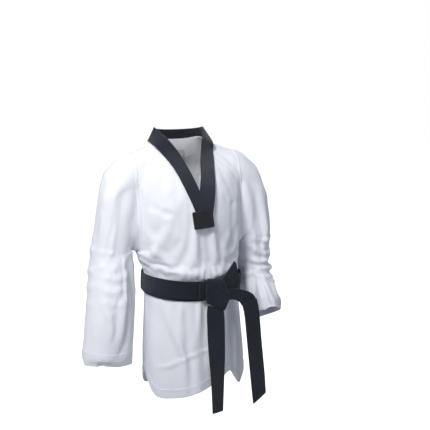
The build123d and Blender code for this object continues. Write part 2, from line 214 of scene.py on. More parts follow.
# ---------------------------------------------------------------- sleeve rings and elbow
def arm_rings(side, head_rings, hanging_rings):
    """Rings from armhole to cuff: centre, outward direction, half depth, half width.

    X is measured outwards for both sleeves.
    """
    head = np.array(SLEEVE_HEAD, float)
    if side > 0:
        for row, far in FAR_LEFT.items():
            head[row, 2] = far
    head[:, 1:] *= MM
    out = []
    for q in np.linspace(0, 1, head_rings, endpoint=False):
        degrees = 90 * q
        near, far, depth = hermite(head, degrees)
        turn = math.radians(degrees)
        middle, half = (near + far) / 2, (far - near) / 2
        x = 0.152 + middle * math.sin(turn)
        if degrees < 15:        # ease out of the armhole's flat plane
            x = ARM_X + (x - ARM_X) * (degrees / 15.0)
        centre = np.array([x, -0.006 - 0.008 * q, PIT_Z + middle * math.cos(turn)])
        out.append((centre, np.array([math.sin(turn), 0, math.cos(turn)]), depth, half))
    cuff_z = ARMS[side][0, 0]
    for q in np.linspace(0, 1, hanging_rings):
        z = PIT_Z + (cuff_z - PIT_Z) * q
        x, y, half, depth = hermite(ARMS[side], z)
        out.append((np.array([x, y, z]), np.array([1.0, 0, 0]), depth, half))
    return out


def elbow_weight(points):
    """Share of the elbow's turn a point follows, from its place with the elbow straight."""
    return ramp((ELBOW_SEAM - points[:, 2]) / (ELBOW_SEAM - ELBOW_END))


def bend_elbow(points, weight):
    """Turn points about the left elbow by their weights, lower end towards the front."""
    c, s = np.cos(weight * LEFT_BEND), np.sin(weight * LEFT_BEND)
    y, z = points[:, 1] - ELBOW_Y, points[:, 2] - ELBOW_Z
    out = points.copy()
    out[:, 1] = ELBOW_Y + y * c + z * s
    out[:, 2] = ELBOW_Z - y * s + z * c
    return out


# ---------------------------------------------------------------- cloth grid
PART = {name: i for i, name in enumerate((
    "front_body", "back_body", "right_side_panel", "left_side_panel", "front_skirt", "back_skirt",
    "right_upper_sleeve", "left_upper_sleeve", "right_lower_sleeve", "left_lower_sleeve"))}
verts, region, weave = [], [], []    # place; 0 torso or the sleeve's side; weave coordinates
faces, label = [], []


def add(point, side, across, up):
    verts.append(tuple(point))
    region.append(side)
    weave.append((across, up, 0.0))
    return len(verts) - 1


def add_face(corners, part):
    faces.append(corners)
    label.append(PART[part])


def ridge_z(x):
    """Height of the shoulder line above x."""
    heights = np.linspace(0.600, 0.700, 201)
    return float(np.interp(-abs(x), -torso(heights)[:, 2], heights))


# Front neck opening: distance from the middle, height
V_X, V_Z = [0.003, 0.022, 0.038, 0.060, NECK_X], [0.556, 0.602, 0.645, 0.676, 0.687]

COLUMN_X = np.concatenate([np.linspace(-ARM_X, -NECK_X, 10)[:-1], np.linspace(-NECK_X, NECK_X, 21),
                           np.linspace(NECK_X, ARM_X, 10)[1:]])
LAST = len(COLUMN_X) - 1         # last front column, at the left armhole
SIDE = 8                         # steps round each side panel
UPPER, LOWER = 33, 47            # rows above and below the underarm
HEAD_RINGS, HANGING_RINGS = 22, 34
LOW_Z = np.linspace(0.0, PIT_Z, LOWER + 1)
ROW_STEP = PIT_Z / LOWER
# Columns run round from the front right edge: front, left side, back, right side
LEFT_BACK, RIGHT_BACK = LAST + SIDE, 2 * LAST + SIDE
VENT_L, VENT_R = LAST + SIDE // 2, RIGHT_BACK + SIDE // 2


def ring_angles():
    """Angle of every column round the torso; 0 is straight ahead."""
    centre_x, _, half_width, _ = torso(PIT_Z)
    front_a = np.arcsin(np.clip((COLUMN_X - centre_x) / half_width, -0.999, 0.999))
    steps = np.arange(1, SIDE) / SIDE
    return np.concatenate([
        front_a, front_a[-1] + steps * (math.pi - 2 * abs(front_a[-1])),
        math.pi - front_a[::-1],
        (math.pi - front_a[0]) + steps * (math.pi - 2 * abs(front_a[0]))])


ANGLES = ring_angles()
RING = len(ANGLES)

low = np.full((LOWER + 1, RING), -1)
split = {}       # second copy of the columns at the vents, for the back's edge
for j, z in enumerate(LOW_Z):
    for i, angle in enumerate(ANGLES):
        cx, cy, half_width, half_depth = torso(z)
        place = (cx + half_width * math.sin(angle), cy - half_depth * math.cos(angle), z)
        low[j, i] = add(place, 0, angle * 0.132, z)
        if z < VENT_TOP and i in (VENT_L, VENT_R):
            split[(j, i)] = add(place, 0, angle * 0.132, z)
for j in range(LOWER):
    for i in range(RING):
        k = (i + 1) % RING
        in_front = i < VENT_L or i >= VENT_R
        corners = (j, i), (j, k), (j + 1, k), (j + 1, i)
        corners = [low[c] if in_front else split.get(c, low[c]) for c in corners]
        if (LOW_Z[j] + LOW_Z[j + 1]) / 2 < SPLIT_Z:
            add_face(corners, "front_skirt" if in_front else "back_skirt")
        elif i < LAST:
            add_face(corners, "front_body")
        elif i < LEFT_BACK:
            add_face(corners, "left_side_panel")
        else:
            add_face(corners, "back_body" if i < RIGHT_BACK else "right_side_panel")

front = np.full((UPPER + 1, LAST + 1), -1)
back = np.full((UPPER + 1, LAST + 1), -1)
for k, x in enumerate(COLUMN_X):
    on_shoulder = abs(x) >= NECK_X - 1e-6
    if on_shoulder:
        front_top = back_top = ridge_z(x)
    else:
        share = abs(x) / NECK_X
        front_top = float(np.interp(abs(x), V_X, V_Z))
        back_top = ridge_z(NECK_X) + 0.005 * (1 - share ** 12) - 0.012 * (1 - share ** 3)
    front[0, k] = low[LOWER, k]
    back[0, k] = low[LOWER, RIGHT_BACK - k]
    for j in range(1, UPPER + 1):
        q = j / UPPER
        rise = 1 - (1 - q) ** 1.15 if on_shoulder else q
        on_ridge = j == UPPER and on_shoulder
        for grid, top, sign in ((front, front_top, -1), (back, back_top, 1)):
            if grid is back and on_ridge:
                back[j, k] = front[j, k]
                continue
            z = PIT_Z + (top - PIT_Z) * rise
            cx, cy, half_width, half_depth = torso(z)
            u = np.clip((x - cx) / half_width, -1, 1)
            y = cy if on_ridge else cy + sign * half_depth * math.sqrt(max(0.0, 1 - u * u))
            grid[j, k] = add((x, y, z), 0, x + (0.5 if sign > 0 else 0), z)
for j in range(UPPER):
    for k in range(LAST):
        add_face([front[j, k], front[j, k + 1], front[j + 1, k + 1], front[j + 1, k]],
                 "front_body")
        add_face([back[j, k + 1], back[j, k], back[j + 1, k], back[j + 1, k + 1]], "back_body")


def sew_sleeve(side, name):
    """Grows a sleeve out of its armhole; returns its rings of vertex numbers."""
    k = 0 if side < 0 else LAST
    under = range(LEFT_BACK - 1, LAST, -1) if side > 0 else range(RIGHT_BACK + 1, RING)
    loop = ([front[j, k] for j in range(UPPER + 1)] + [back[j, k] for j in range(UPPER - 1, -1, -1)]
            + [low[LOWER, i] for i in under])
    size = len(loop)
    hole = np.array([verts[i] for i in loop])
    # angle of each armhole point about the hole's middle, and the same angles evenly spaced
    own = np.unwrap(np.arctan2((hole[:, 2] - 0.515) / 0.118, (hole[:, 1] + 0.012) / 0.062))
    run = run_length(np.vstack([hole, hole[:1]]))
    even = own[0] + np.sign(own[-1] - own[0]) * 2 * math.pi * run[:-1] / run[-1]
    rings = arm_rings(side, HEAD_RINGS, HANGING_RINGS)
    grid = [loop]
    path = 0.0
    for r in range(1, len(rings)):
        centre, outward, half_depth, half_width = rings[r]
        path += float(np.linalg.norm(centre - rings[r - 1][0]))
        own_shape = smooth01(r / 9.0)
        row = []
        for m in range(size):
            a = own[m] * (1 - min(1, r / 14)) + even[m] * min(1, r / 14)
            p = (centre + np.array([0, 1, 0]) * half_depth * math.cos(a)
                 + outward * half_width * math.sin(a))
            if r < 9:      # leave the armhole's own outline gradually
                flat = np.array([p[0], hole[m][1], hole[m][2]])
                p = p * own_shape + flat * (1 - own_shape)
            row.append(add((side * p[0], p[1], p[2]), side, a * 0.066 + 2 * side, -path))
        grid.append(row)
    for r in range(len(grid) - 1):
        lower = r >= HEAD_RINGS and rings[r + 1][0][2] < ELBOW_SEAM
        for m in range(size):
            k = (m + 1) % size
            quad = [grid[r][m], grid[r][k], grid[r + 1][k], grid[r + 1][m]]
            add_face(quad if side > 0 else quad[::-1],
                     name + ("_lower_sleeve" if lower else "_upper_sleeve"))
    return grid


SLEEVES = {side: sew_sleeve(side, name) for side, name in SIDES}
STRAIGHT = np.array(verts, float)     # with both elbows straight
REGION, WEAVE, LABEL = np.array(region), np.array(weave, float), np.array(label)
FACES = np.array(faces)
COUNT = len(STRAIGHT)
TORSO_CLOTH = REGION == 0

# Shares of each joint's turn, from the straight shape
shoulder_share, elbow_share = np.zeros(COUNT), np.zeros(COUNT)
for side, grid in SLEEVES.items():
    ids = np.array(sorted({i for row in grid for i in row}))
    points = STRAIGHT[ids] * [side, 1, 1]
    hole = STRAIGHT[np.array(grid[0])] * [side, 1, 1]
    from_hole = np.min(np.linalg.norm(points[:, None, :] - hole[None], axis=2), axis=1)
    row_z = np.array([STRAIGHT[row[0], 2] for row in grid[HEAD_RINGS:]])
    seam_z = row_z[row_z >= ELBOW_SEAM - 1e-9].min()
    above = np.clip(points[:, 2] - seam_z, 0, None)
    share = np.where(above <= 0, 1.0, from_hole / (from_hole + above + 1e-9))
    shoulder_share[ids] = smooth01(share) * 0.5 + share * 0.5
    elbow_share[ids] = elbow_weight(points) * (above <= 0.0)
skirt_share = ramp((FLAP_TOP - STRAIGHT[:, 2]) / (FLAP_TOP - FLAP_FULL))

WORN = STRAIGHT.copy()
left_ids = np.where(REGION == 1)[0]
WORN[left_ids] = bend_elbow(WORN[left_ids], elbow_share[left_ids])


def middles_and_normals(chosen):
    corners = STRAIGHT[FACES[chosen]]
    return corners.mean(1), np.cross(corners[:, 2] - corners[:, 0], corners[:, 3] - corners[:, 1])


def turn_outwards():
    """Makes every part's faces look away from its own axis."""
    for side, name in SIDES:
        chosen = np.isin(LABEL, [PART[name + "_upper_sleeve"], PART[name + "_lower_sleeve"]])
        middle, normal = middles_and_normals(chosen)
        hanging = middle[:, 2] < 0.38
        middle, normal = middle[hanging], normal[hanging]
        axis = hermite(ARMS[side], middle[:, 2])
        outward = np.stack([middle[:, 0] - side * axis[:, 0], middle[:, 1] - axis[:, 1]], 1)
        if (outward * normal[:, :2]).sum() < 0:
            FACES[chosen] = FACES[chosen][:, ::-1]
    chosen = LABEL < PART["right_upper_sleeve"]
    middle, normal = middles_and_normals(chosen)
    axis = torso(np.clip(middle[:, 2], 0, 0.7))
    inwards = ((middle[:, 0] - axis[:, 0]) * normal[:, 0]
               + (middle[:, 1] - axis[:, 1]) * normal[:, 1]) < 0
    for part in range(PART["right_upper_sleeve"]):
        mine = LABEL[chosen] == part
        if inwards[mine].mean() > 0.5:
            ids = np.where(chosen)[0][mine]
            FACES[ids] = FACES[ids][:, ::-1]


turn_outwards()
NORMAL = normals_of(WORN, FACES)

# ---------------------------------------------------------------- folds pressed in before draping
# Folds are rows of: width mm, height mm, then the path as x, z pairs (y, z where noted)
CHEST_FOLDS = [
    (9, 5, -.142, .585, -.12, .52, -.112, .44), (8, 4.5, -.141, .47, -.118, .425, -.108, .375),
    (8, 3.5, -.128, .418, -.095, .385, -.07, .35), (7, -3, -.137, .54, -.098, .505, -.06, .495),
    (7, -3.6, -.096, .512, -.072, .494), (6, -3.2, -.118, .52, -.106, .508),
    (10, 2.6, -.09, .47, -.05, .43, -.03, .372), (9, 2.4, -.028, .47, -.012, .42, -.006, .35),
    (9, 2.8, .03, .462, .044, .41, .04, .345), (9, 5, .142, .58, .122, .52, .116, .44),
    (8, 4.6, .141, .47, .122, .42, .108, .37), (7, -3.4, .118, .52, .092, .508),
    (9, 3.2, .1, .455, .074, .405, .07, .35), (9, -2.2, -.06, .62, -.085, .57, -.1, .545),
    (9, -2.2, .07, .615, .092, .57, .104, .545)]
SKIRT_FOLDS = [
    (8, 7.5, -.098, .268, -.076, .195, -.052, .118, -.048, .04),
    (8, 3.6, -.052, .268, -.06, .2, -.056, .13), (9, 3.4, 0, .268, -.012, .2, -.03, .12),
    (10, 4.4, .062, .262, .07, .17, .06, .06), (10, 5, .1, .262, .112, .16, .106, .03),
    (9, 3.6, -.128, .262, -.122, .16, -.124, .05), (11, 2.4, .02, .262, .024, .16, .016, .05)]
SKIRT_CREASE = (-.118, .083, -.088, .094, -.052, .111, -.018, .122, .03, .126, .08, .12)
BACK_FOLDS = [
    (11, 5, -.142, .56, -.105, .5, -.07, .43), (11, 5, .142, .56, .108, .5, .074, .43),
    (10, 4.6, -.12, .455, -.07, .405, -.04, .345), (10, 4.4, .118, .46, .07, .4, .036, .345),
    (10, 3.2, -.01, .47, -.004, .4, .008, .345), (9, -2.2, -.06, .64, 0, .626, .06, .64),
    (11, 5, -.1, .262, -.096, .15, -.09, .03), (11, 4.2, -.04, .262, -.034, .15, -.044, .03),
    (11, 4.6, .03, .262, .036, .15, .026, .03), (11, 5, .096, .262, .104, .15, .096, .03),
    (4.5, 2.2, -.1, .12, -.03, .112, .04, .124, .1, .118)]
# Sleeves, from the front, x measured outwards
SLEEVE_FRONT_FOLDS = [
    (10, -5, .172, .585, .196, .5, .204, .43, .206, .36), (9, 5, .16, .56, .168, .48, .176, .41),
    (9, 3.2, .214, .56, .226, .48, .228, .41), (5, 3.6, .268, .408, .236, .402, .205, .398),
    (6, 4.2, .262, .372, .226, .36, .182, .372), (6, 3.8, .164, .4, .19, .376, .226, .382),
    (7, 4.8, .166, .352, .206, .336, .262, .35), (6, 4.4, .27, .322, .232, .306, .184, .318),
    (6, 3.2, .176, .29, .214, .276, .262, .286), (9, 3.2, .256, .3, .24, .23, .246, .17),
    (9, 3.4, .204, .296, .208, .23, .214, .165)]
# Sleeves, outer and inner faces, as y, z pairs
SLEEVE_OUTER_FOLDS = [
    (11, 4, -.045, .59, -.04, .5, -.05, .42), (12, -4, .01, .6, .02, .5, .014, .4),
    (7, 3.6, .048, .42, .006, .396, -.046, .408), (7, 4.6, .042, .366, -.01, .346, -.07, .362),
    (7, 4, .03, .322, -.024, .306, -.084, .322), (7, 2.8, .01, .28, -.04, .262, -.096, .276),
    (10, 3.2, -.02, .25, -.044, .19, -.052, .14)]
SLEEVE_INNER_FOLDS = [
    (7, 3.6, .03, .372, -.02, .35, -.07, .366), (7, 3.6, .01, .31, -.04, .292, -.09, .306)]

RELIEF = np.zeros(COUNT)


def press_fold(mask, plane, path, width, height, ends=0.25):
    """Adds a long soft fold along a path: a ridge with a shallow trough each side."""
    width, height = width * MM, height * MM
    path = np.array(path, float).reshape(-1, 2)
    nearest, place = np.full(len(plane), 9.0), np.zeros(len(plane))
    pieces = len(path) - 1
    for i in range(pieces):
        step = path[i + 1] - path[i]
        t = np.clip(((plane - path[i]) @ step) / (step @ step), 0, 1)
        away = np.linalg.norm(plane - (path[i] + t[:, None] * step), axis=1)
        closer = away < nearest
        nearest[closer] = away[closer]
        place[closer] = (i + t[closer]) / pieces
    r = nearest / width
    profile = np.exp(-r * r) - 0.35 * np.exp(-((r - 1.9) ** 2) / 0.6)
    fade = smooth01(place / ends) * smooth01((1 - place) / ends)
    fold = height * profile * (0.15 + 0.85 * fade) * (nearest < width * 4)
    RELIEF[mask] += fold[mask]


def press_folds(mask, plane, folds):
    for width, height, *path in folds:
        press_fold(mask, plane, path, width, height)


def fold_torso():
    plane = WORN[:, [0, 2]]
    is_front = TORSO_CLOTH & (NORMAL[:, 1] < -0.05)
    is_back = TORSO_CLOTH & (NORMAL[:, 1] > 0.05)
    press_folds(is_front, plane, CHEST_FOLDS)
    for x in np.linspace(-.118, .122, 15):     # gathers over the belt, front and back
        x += random(-.004, .004)
        press_fold(is_front, plane, (x, .319, x + random(-.006, .006), .338,
                                     x + random(-.012, .012), .338 + random(.014, .045)),
                   random(3.6, 5.4), random(2.2, 4.4), 0.35)
        press_fold(is_back, plane, (x, .319, x * .97, .340,
                                    x * .94 + random(-.008, .008), .345 + random(.02, .06)),
                   random(4, 6), random(2.2, 4.2), 0.35)
    press_folds(is_front, plane, SKIRT_FOLDS)
    press_fold(is_front, plane, SKIRT_CREASE, 4.5, 5.0, 0.12)
    for x in np.linspace(-.115, .120, 13):     # gathers under the belt
        x += random(-.005, .005)
        press_fold(is_front, plane, (x, .273, x + random(-.006, .006), .248,
                                     x + random(-.01, .01), .21 + random(-.02, .02)),
                   random(4, 6), random(1.8, 3.6), 0.4)
    press_folds(is_back, plane, BACK_FOLDS)


def fold_sleeve(side):
    mine = REGION == side
    face_on, side_on = STRAIGHT[:, [0, 2]] * [side, 1], STRAIGHT[:, [1, 2]]
    for width, height, *path in SLEEVE_FRONT_FOLDS:
        deeper = 1.25 if side > 0 and path[1] < .38 else 1.0     # round the bent elbow
        press_fold(mine & (NORMAL[:, 1] < 0.2), face_on, path, width, height * deeper)
    outwards = NORMAL[:, 0] * side
    press_folds(mine & (outwards > -0.25), side_on, SLEEVE_OUTER_FOLDS)
    press_folds(mine & (outwards <= 0.15), side_on, SLEEVE_INNER_FOLDS)


fold_torso()
for side, _ in SIDES:
    fold_sleeve(side)


def distance_to(ids, above_z, mask=True):
    """Distance from each point above a height to the nearest of some vertices."""
    out = np.full(COUNT, 9.0)
    near = np.where(mask & (WORN[:, 2] > above_z))[0]
    out[near] = np.min(np.linalg.norm(WORN[near][:, None] - WORN[ids][None], axis=2), axis=1)
    return out


# Where the cloth is sewn down or held, it keeps its place
in_neck = np.abs(COLUMN_X) <= NECK_X + 1e-6
neck_ids = np.concatenate([front[UPPER, in_neck], back[UPPER, in_neck]])
ridge_ids = front[UPPER, np.abs(COLUMN_X) > NECK_X]
HOLD = np.zeros(COUNT)
HOLD[TORSO_CLOTH] = 1 - smooth01((np.abs(WORN[TORSO_CLOTH, 2] - BELT_Z) - 0.020) / 0.014)
HOLD = np.maximum(HOLD, 1 - smooth01((distance_to(neck_ids, 0.48, TORSO_CLOTH) - 0.024) / 0.024))
shoulder_hold = 1 - smooth01((distance_to(ridge_ids, 0.58) - 0.008) / 0.03)
START = WORN + NORMAL * (RELIEF * (1 - HOLD) * (1 - 0.6 * shoulder_hold))[:, None]

# ---------------------------------------------------------------- drape
AROUND = np.linspace(0, 2 * math.pi, 48, endpoint=False)
# How far the form lies inside the cloth: heights, then mm
FORM_Z = [0, .20, .27, .296, .33, .40, .55, .62, .66, .70]
FORM_INSET = [26, 20, 7, 5, 8, 15, 9, 4.0, 3.5, 10]


def torso_form():
    rings = []
    for z in np.linspace(-0.03, 0.697, 60):
        cx, cy, half_width, half_depth = torso(max(z, 0.0))
        inset = float(np.interp(z, FORM_Z, FORM_INSET)) * MM
        rings.append(np.stack([cx + (half_width - inset) * np.cos(AROUND),
                               cy + (half_depth - inset) * np.sin(AROUND), np.full(48, z)], 1))
    return mesh_object("form_torso", *loft(rings))


def arm_form(side):
    """An arm lying along the outer side of its sleeve, run on past both ends."""
    frames = arm_rings(side, 10, 20)
    frames = [(frames[0][0] - [0.05, 0, 0], *frames[0][1:])] + frames
    last = frames[-1]
    frames.append((last[0] + (last[0] - frames[-2][0]), *last[1:]))
    rings = []
    for i, (centre, outward, half_depth, half_width) in enumerate(frames):
        q = i / (len(frames) - 1)
        radius = float(np.interp(q, [0, .30, .6, 1], [.050, .046, .041, .031]))
        gap = float(np.interp(q, [0, .30, .6, 1], [.004, .006, .012, .022]))
        centre = centre + outward * max(0.0, half_width - radius - gap)
        depth = min(half_depth - 0.006, radius * 1.12)
        weight = elbow_weight(centre[None])[0] if q > 0.35 else 0.0
        if side > 0:     # the bent forearm rests against the back of its sleeve
            centre = centre + np.array([0, 1, 0]) * weight * (half_depth - depth - 0.008)
        ring = (centre + np.array([0, 1, 0]) * (depth * np.cos(AROUND))[:, None]
                + outward * (radius * np.sin(AROUND))[:, None])
        if side > 0:
            ring = bend_elbow(ring, np.full(48, weight))
        rings.append(ring * [side, 1, 1])
    return mesh_object("form_arm", *loft(rings))


def simulate():
    """Drapes the sewn garment over a plain dress form, held at the belt and the collar."""
    forms = [torso_form(), arm_form(-1), arm_form(1)]
    for form in forms:
        work = bmesh.new()
        work.from_mesh(form.data)
        bmesh.ops.recalc_face_normals(work, faces=work.faces)
        work.to_mesh(form.data)
        work.free()
        form.modifiers.new("hit", "COLLISION")
        form.collision.thickness_outer = 0.002
        form.collision.thickness_inner = 0.006
        form.collision.cloth_friction = 12.0
        form.collision.damping = 0.4
    drape = mesh_object("drape", START, FACES)
    group = drape.vertex_groups.new(name="hold")
    for i in np.where(HOLD > 0.02)[0]:
        group.add([int(i)], float(HOLD[i]), "REPLACE")
    cloth = drape.modifiers.new("cloth", "CLOTH")
    for name, value in dict(
            quality=5, mass=0.35, tension_stiffness=18, compression_stiffness=12,
            shear_stiffness=6, bending_stiffness=1.2, tension_damping=6, compression_damping=6,
            shear_damping=6, bending_damping=0.6, air_damping=2.0, vertex_group_mass="hold",
            pin_stiffness=1.0, shrink_min=-0.018).items():
        setattr(cloth.settings, name, value)
    cloth.collision_settings.distance_min = 0.002
    cloth.collision_settings.collision_quality = 2
    cloth.collision_settings.use_self_collision = False
    last_frame = 26
    cloth.point_cache.frame_start = 1
    cloth.point_cache.frame_end = last_frame
    scene = bpy.context.scene
    for i in range(1, last_frame + 1):
        scene.frame_set(i)
    draped = drape.evaluated_get(bpy.context.evaluated_depsgraph_get())
    out = np.zeros(COUNT * 3)
    draped.data.vertices.foreach_get("co", out)
    scene.frame_set(1)
    for item in forms + [drape]:
        data = item.data
        bpy.data.objects.remove(item, do_unlink=True)
        bpy.data.meshes.remove(data)
    return out.reshape(-1, 3)


def relax(points, times, amount):
    """Moves each value towards the mean of its neighbours on the grid."""
    edges = set()
    for face in FACES.tolist():
        for a, b in zip(face, face[1:] + face[:1]):
            edges.add((min(a, b), max(a, b)))
    edges = np.array(sorted(edges))
    degree = np.bincount(edges.ravel(), minlength=len(points))[:, None]
    for _ in range(times):
        total = np.zeros_like(points)
        np.add.at(total, edges[:, 0], points[edges[:, 1]])
        np.add.at(total, edges[:, 1], points[edges[:, 0]])
        points = points + amount * (total / np.maximum(degree, 1) - points)
    return points


def limit(moves, most):
    size = np.linalg.norm(moves, axis=1)
    return moves * (np.minimum(size, most) / np.maximum(size, 1e-9))[:, None]


def drape_cloth():
    """The simulated drape's folds, with only a little of its overall sag."""
    move = simulate() - WORN
    sag = relax(move, 26, 0.6)
    detail = limit(move - sag, 0.009)
    sag = limit(sag, 0.012)
    sag[:, 2] = 0.0
    calmer_skirt = 1 - 0.55 * smooth01((0.285 - WORN[:, 2]) / 0.03) * TORSO_CLOTH
    detail *= calmer_skirt[:, None]
    pressed = np.where(TORSO_CLOTH, 0.60, np.where(REGION < 0, 0.42, 0.85))[:, None]
    out = relax(WORN + 0.45 * sag + 0.95 * detail + pressed * (START - WORN), 1, 0.2)
    out[neck_ids] = WORN[neck_ids]
    return out


def belt_rise(t):
    """The belt sits higher at the wearer's right and at the back than at the knot."""
    t = np.asarray(t, float)
    left = .0125 * smooth01((t - 1.5) / (math.pi - 1.5)) - .004 * np.exp(-((t - .95) / .4) ** 2)
    return np.where(t < 0, .0125 * smooth01(-t / (math.pi / 2)), left)


# Lift of the front hem along x
HEM_X = [-.150, -.138, -.1285, -.118, -.104, -.069, -.0366, -.0235, .0124, .045, .0687, .0840,
         .0885, .0925, .110, .124, .140, .152]
HEM_LIFT = [.072, .064, .030, .0105, .0065, .0095, .0150, .0200, .0330, .0510, .0640, .0690,
            .0660, .0580, .0260, .0150, .0300, .0420]


def skirt_mask(part):
    mask = np.zeros(COUNT, bool)
    mask[np.unique(FACES[LABEL == PART[part]])] = True
    return mask & TORSO_CLOTH & (STRAIGHT[:, 2] < .20)


def shape_cloth(points):
    """Lifted shoulders, the belt's rise, the tilted right cuff, the shaped, overlapping hem."""
    points = points.copy()
    x, y, z = STRAIGHT.T
    points[:, 2] += .0165 * np.exp(-((np.abs(x) - .152) / .042) ** 2) * smooth01((z - .50) / .09)
    t = np.arctan2(x - BELT_CENTRE[0], -(y - BELT_CENTRE[1]))
    mine = TORSO_CLOTH
    points[mine, 0] -= .0085 * smooth01((z[mine] - .640) / .035)
    near_belt = 1 - smooth01((np.abs(z[mine] - BELT_Z) - .040) / .07)
    points[mine, 2] += belt_rise(t[mine]) * near_belt
    right = REGION == -1
    points[right, 2] += (np.abs(x[right]) - .235) * .115 * smooth01((.33 - z[right]) / .15)
    # the hem's own outline, by angle round the lowest torso section
    cx, cy, half_width, half_depth = TORSO[0, 1:]
    turn = np.arctan2((x - cx) / half_width, -(y - cy) / half_depth)
    hem_turn = np.arcsin(np.clip((np.array(HEM_X) - cx) / half_width, -1, 1))
    lift = np.interp(turn, hem_turn + np.linspace(-1e-6, 1e-6, len(HEM_X)), HEM_LIFT)
    fade = 1 - smooth01(z / .20)
    in_front = skirt_mask("front_skirt")
    points[in_front, 2] += (lift * fade)[in_front]
    behind = skirt_mask("back_skirt") & ~in_front
    lift = np.where(turn < 0, .068, .042) * (1 - smooth01((np.abs(turn) - 1.55) / .75))
    points[behind, 2] += (lift * fade)[behind]
    # the free edge of the upper wrap: the cloth past it lies one ply lower
    edge_x = np.interp(z, [0, .07, .27], [.0885, .0880, .0700])
    step = (smooth01((x - edge_x) / .0045) * (1 - smooth01((x - edge_x - .022) / .030))
            * smooth01((.285 - z) / .02))
    wrap = in_front | (mine & (z < .285) & (points[:, 1] < -.06))
    points[wrap, 1] += (.0034 * step)[wrap]
    return points


DRAPED = shape_cloth(drape_cloth())


# ---------------------------------------------------------------- finer cloth
def refine(arrays):
    """Subdivides the draped cloth once; the part numbers and arrays are carried along."""
    made = mesh_object("fine", DRAPED, FACES)
    data = made.data
    data.polygons.foreach_set("material_index", LABEL.astype(np.int32))
    for name, array in arrays.items():
        kind, field = ("FLOAT", "value") if array.ndim == 1 else ("FLOAT_VECTOR", "vector")
        carried = data.attributes.new(name, kind, "POINT")
        carried.data.foreach_set(field, array.astype(np.float32).ravel())
    subdivision = made.modifiers.new("subdivision", "SUBSURF")
    subdivision.levels = 1
    fine_object = made.evaluated_get(bpy.context.evaluated_depsgraph_get())
    fine = fine_object.to_mesh()
    count = len(fine.vertices)
    points = np.zeros(count * 3)
    fine.vertices.foreach_get("co", points)
    parts = np.zeros(len(fine.polygons), np.int32)
    fine.polygons.foreach_get("material_index", parts)
    corners = np.zeros(len(fine.loops), np.int32)
    fine.loops.foreach_get("vertex_index", corners)
    out = {}
    for name, array in arrays.items():
        flat = array.ndim == 1
        values = np.zeros(count * (1 if flat else 3), np.float32)
        fine.attributes[name].data.foreach_get("value" if flat else "vector", values)
        out[name] = values.astype(float) if flat else values.reshape(-1, 3).astype(float)
    fine_object.to_mesh_clear()
    bpy.data.objects.remove(made, do_unlink=True)
    bpy.data.meshes.remove(data)
    return points.reshape(-1, 3), corners.reshape(-1, 4), parts, out


POINTS, QUADS, PARTS, CARRIED = refine({
    "shoulder": shoulder_share, "elbow": elbow_share, "skirt": skirt_share,
    "straight": STRAIGHT, "weave": WEAVE})
NORMALS = normals_of(POINTS, QUADS)
CENTRES = CARRIED["straight"][QUADS].mean(1)
CENTRE_Z = CENTRES[:, 2]
SURFACE = BVHTree.FromPolygons([tuple(p) for p in POINTS], [tuple(int(i) for i in q) for q in QUADS])


# ---------------------------------------------------------------- building pieces
class Mesh:
    """A mesh being put together, with bend weights, weave coordinates and normals."""

    def __init__(self):
        self.points, self.weights, self.weaves, self.normals = [], [], [], []
        self.faces, self.slots = [], []
        self.count = 0

    def put(self, points, faces, slot=0, weight=0.0, weave=None, normals=None):
        size = len(points)
        none = np.zeros((size, 3))
        self.points.append(points)
        self.weights.append(np.broadcast_to(np.asarray(weight, float), (size,)))
        self.weaves.append(none if weave is None else weave)
        self.normals.append(none if normals is None else normals)
        for face in faces:
            self.faces.append([int(i) + self.count for i in face])
            self.slots.append(slot)
        self.count += size

    def build(self, name, materials):
        data = bpy.data.meshes.new(name)
        data.from_pydata([tuple(p) for p in np.vstack(self.points)], [], self.faces)
        for material in materials:
            data.materials.append(material)
        data.polygons.foreach_set("material_index", np.array(self.slots, np.int32))
        data.polygons.foreach_set("use_smooth", np.full(len(self.faces), True))
        coords = data.attributes.new("st", "FLOAT_VECTOR", "POINT")
        coords.data.foreach_set("vector", np.vstack(self.weaves).astype(np.float32).ravel())
        normals = np.vstack(self.normals)
        data.update()
        if np.abs(normals).sum() > 0:
            data.normals_split_custom_set_from_vertices([tuple(v) for v in normals])
        made = bpy.data.objects.new(name, data)
        bpy.context.scene.collection.objects.link(made)
        return made

    def ride(self, name, materials, *nodes):
        """Builds a piece that moves with the torso."""
        made = self.build(name, materials)
        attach(made, "torso")
        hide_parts(*(nodes or (name,)))

    def blend(self, name, materials, first, second, span, *nodes):
        """Builds a piece in place, with its transform baked into its points."""
        made = self.build(name, materials)
        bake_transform(made)
        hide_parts(*(nodes or (name,)))


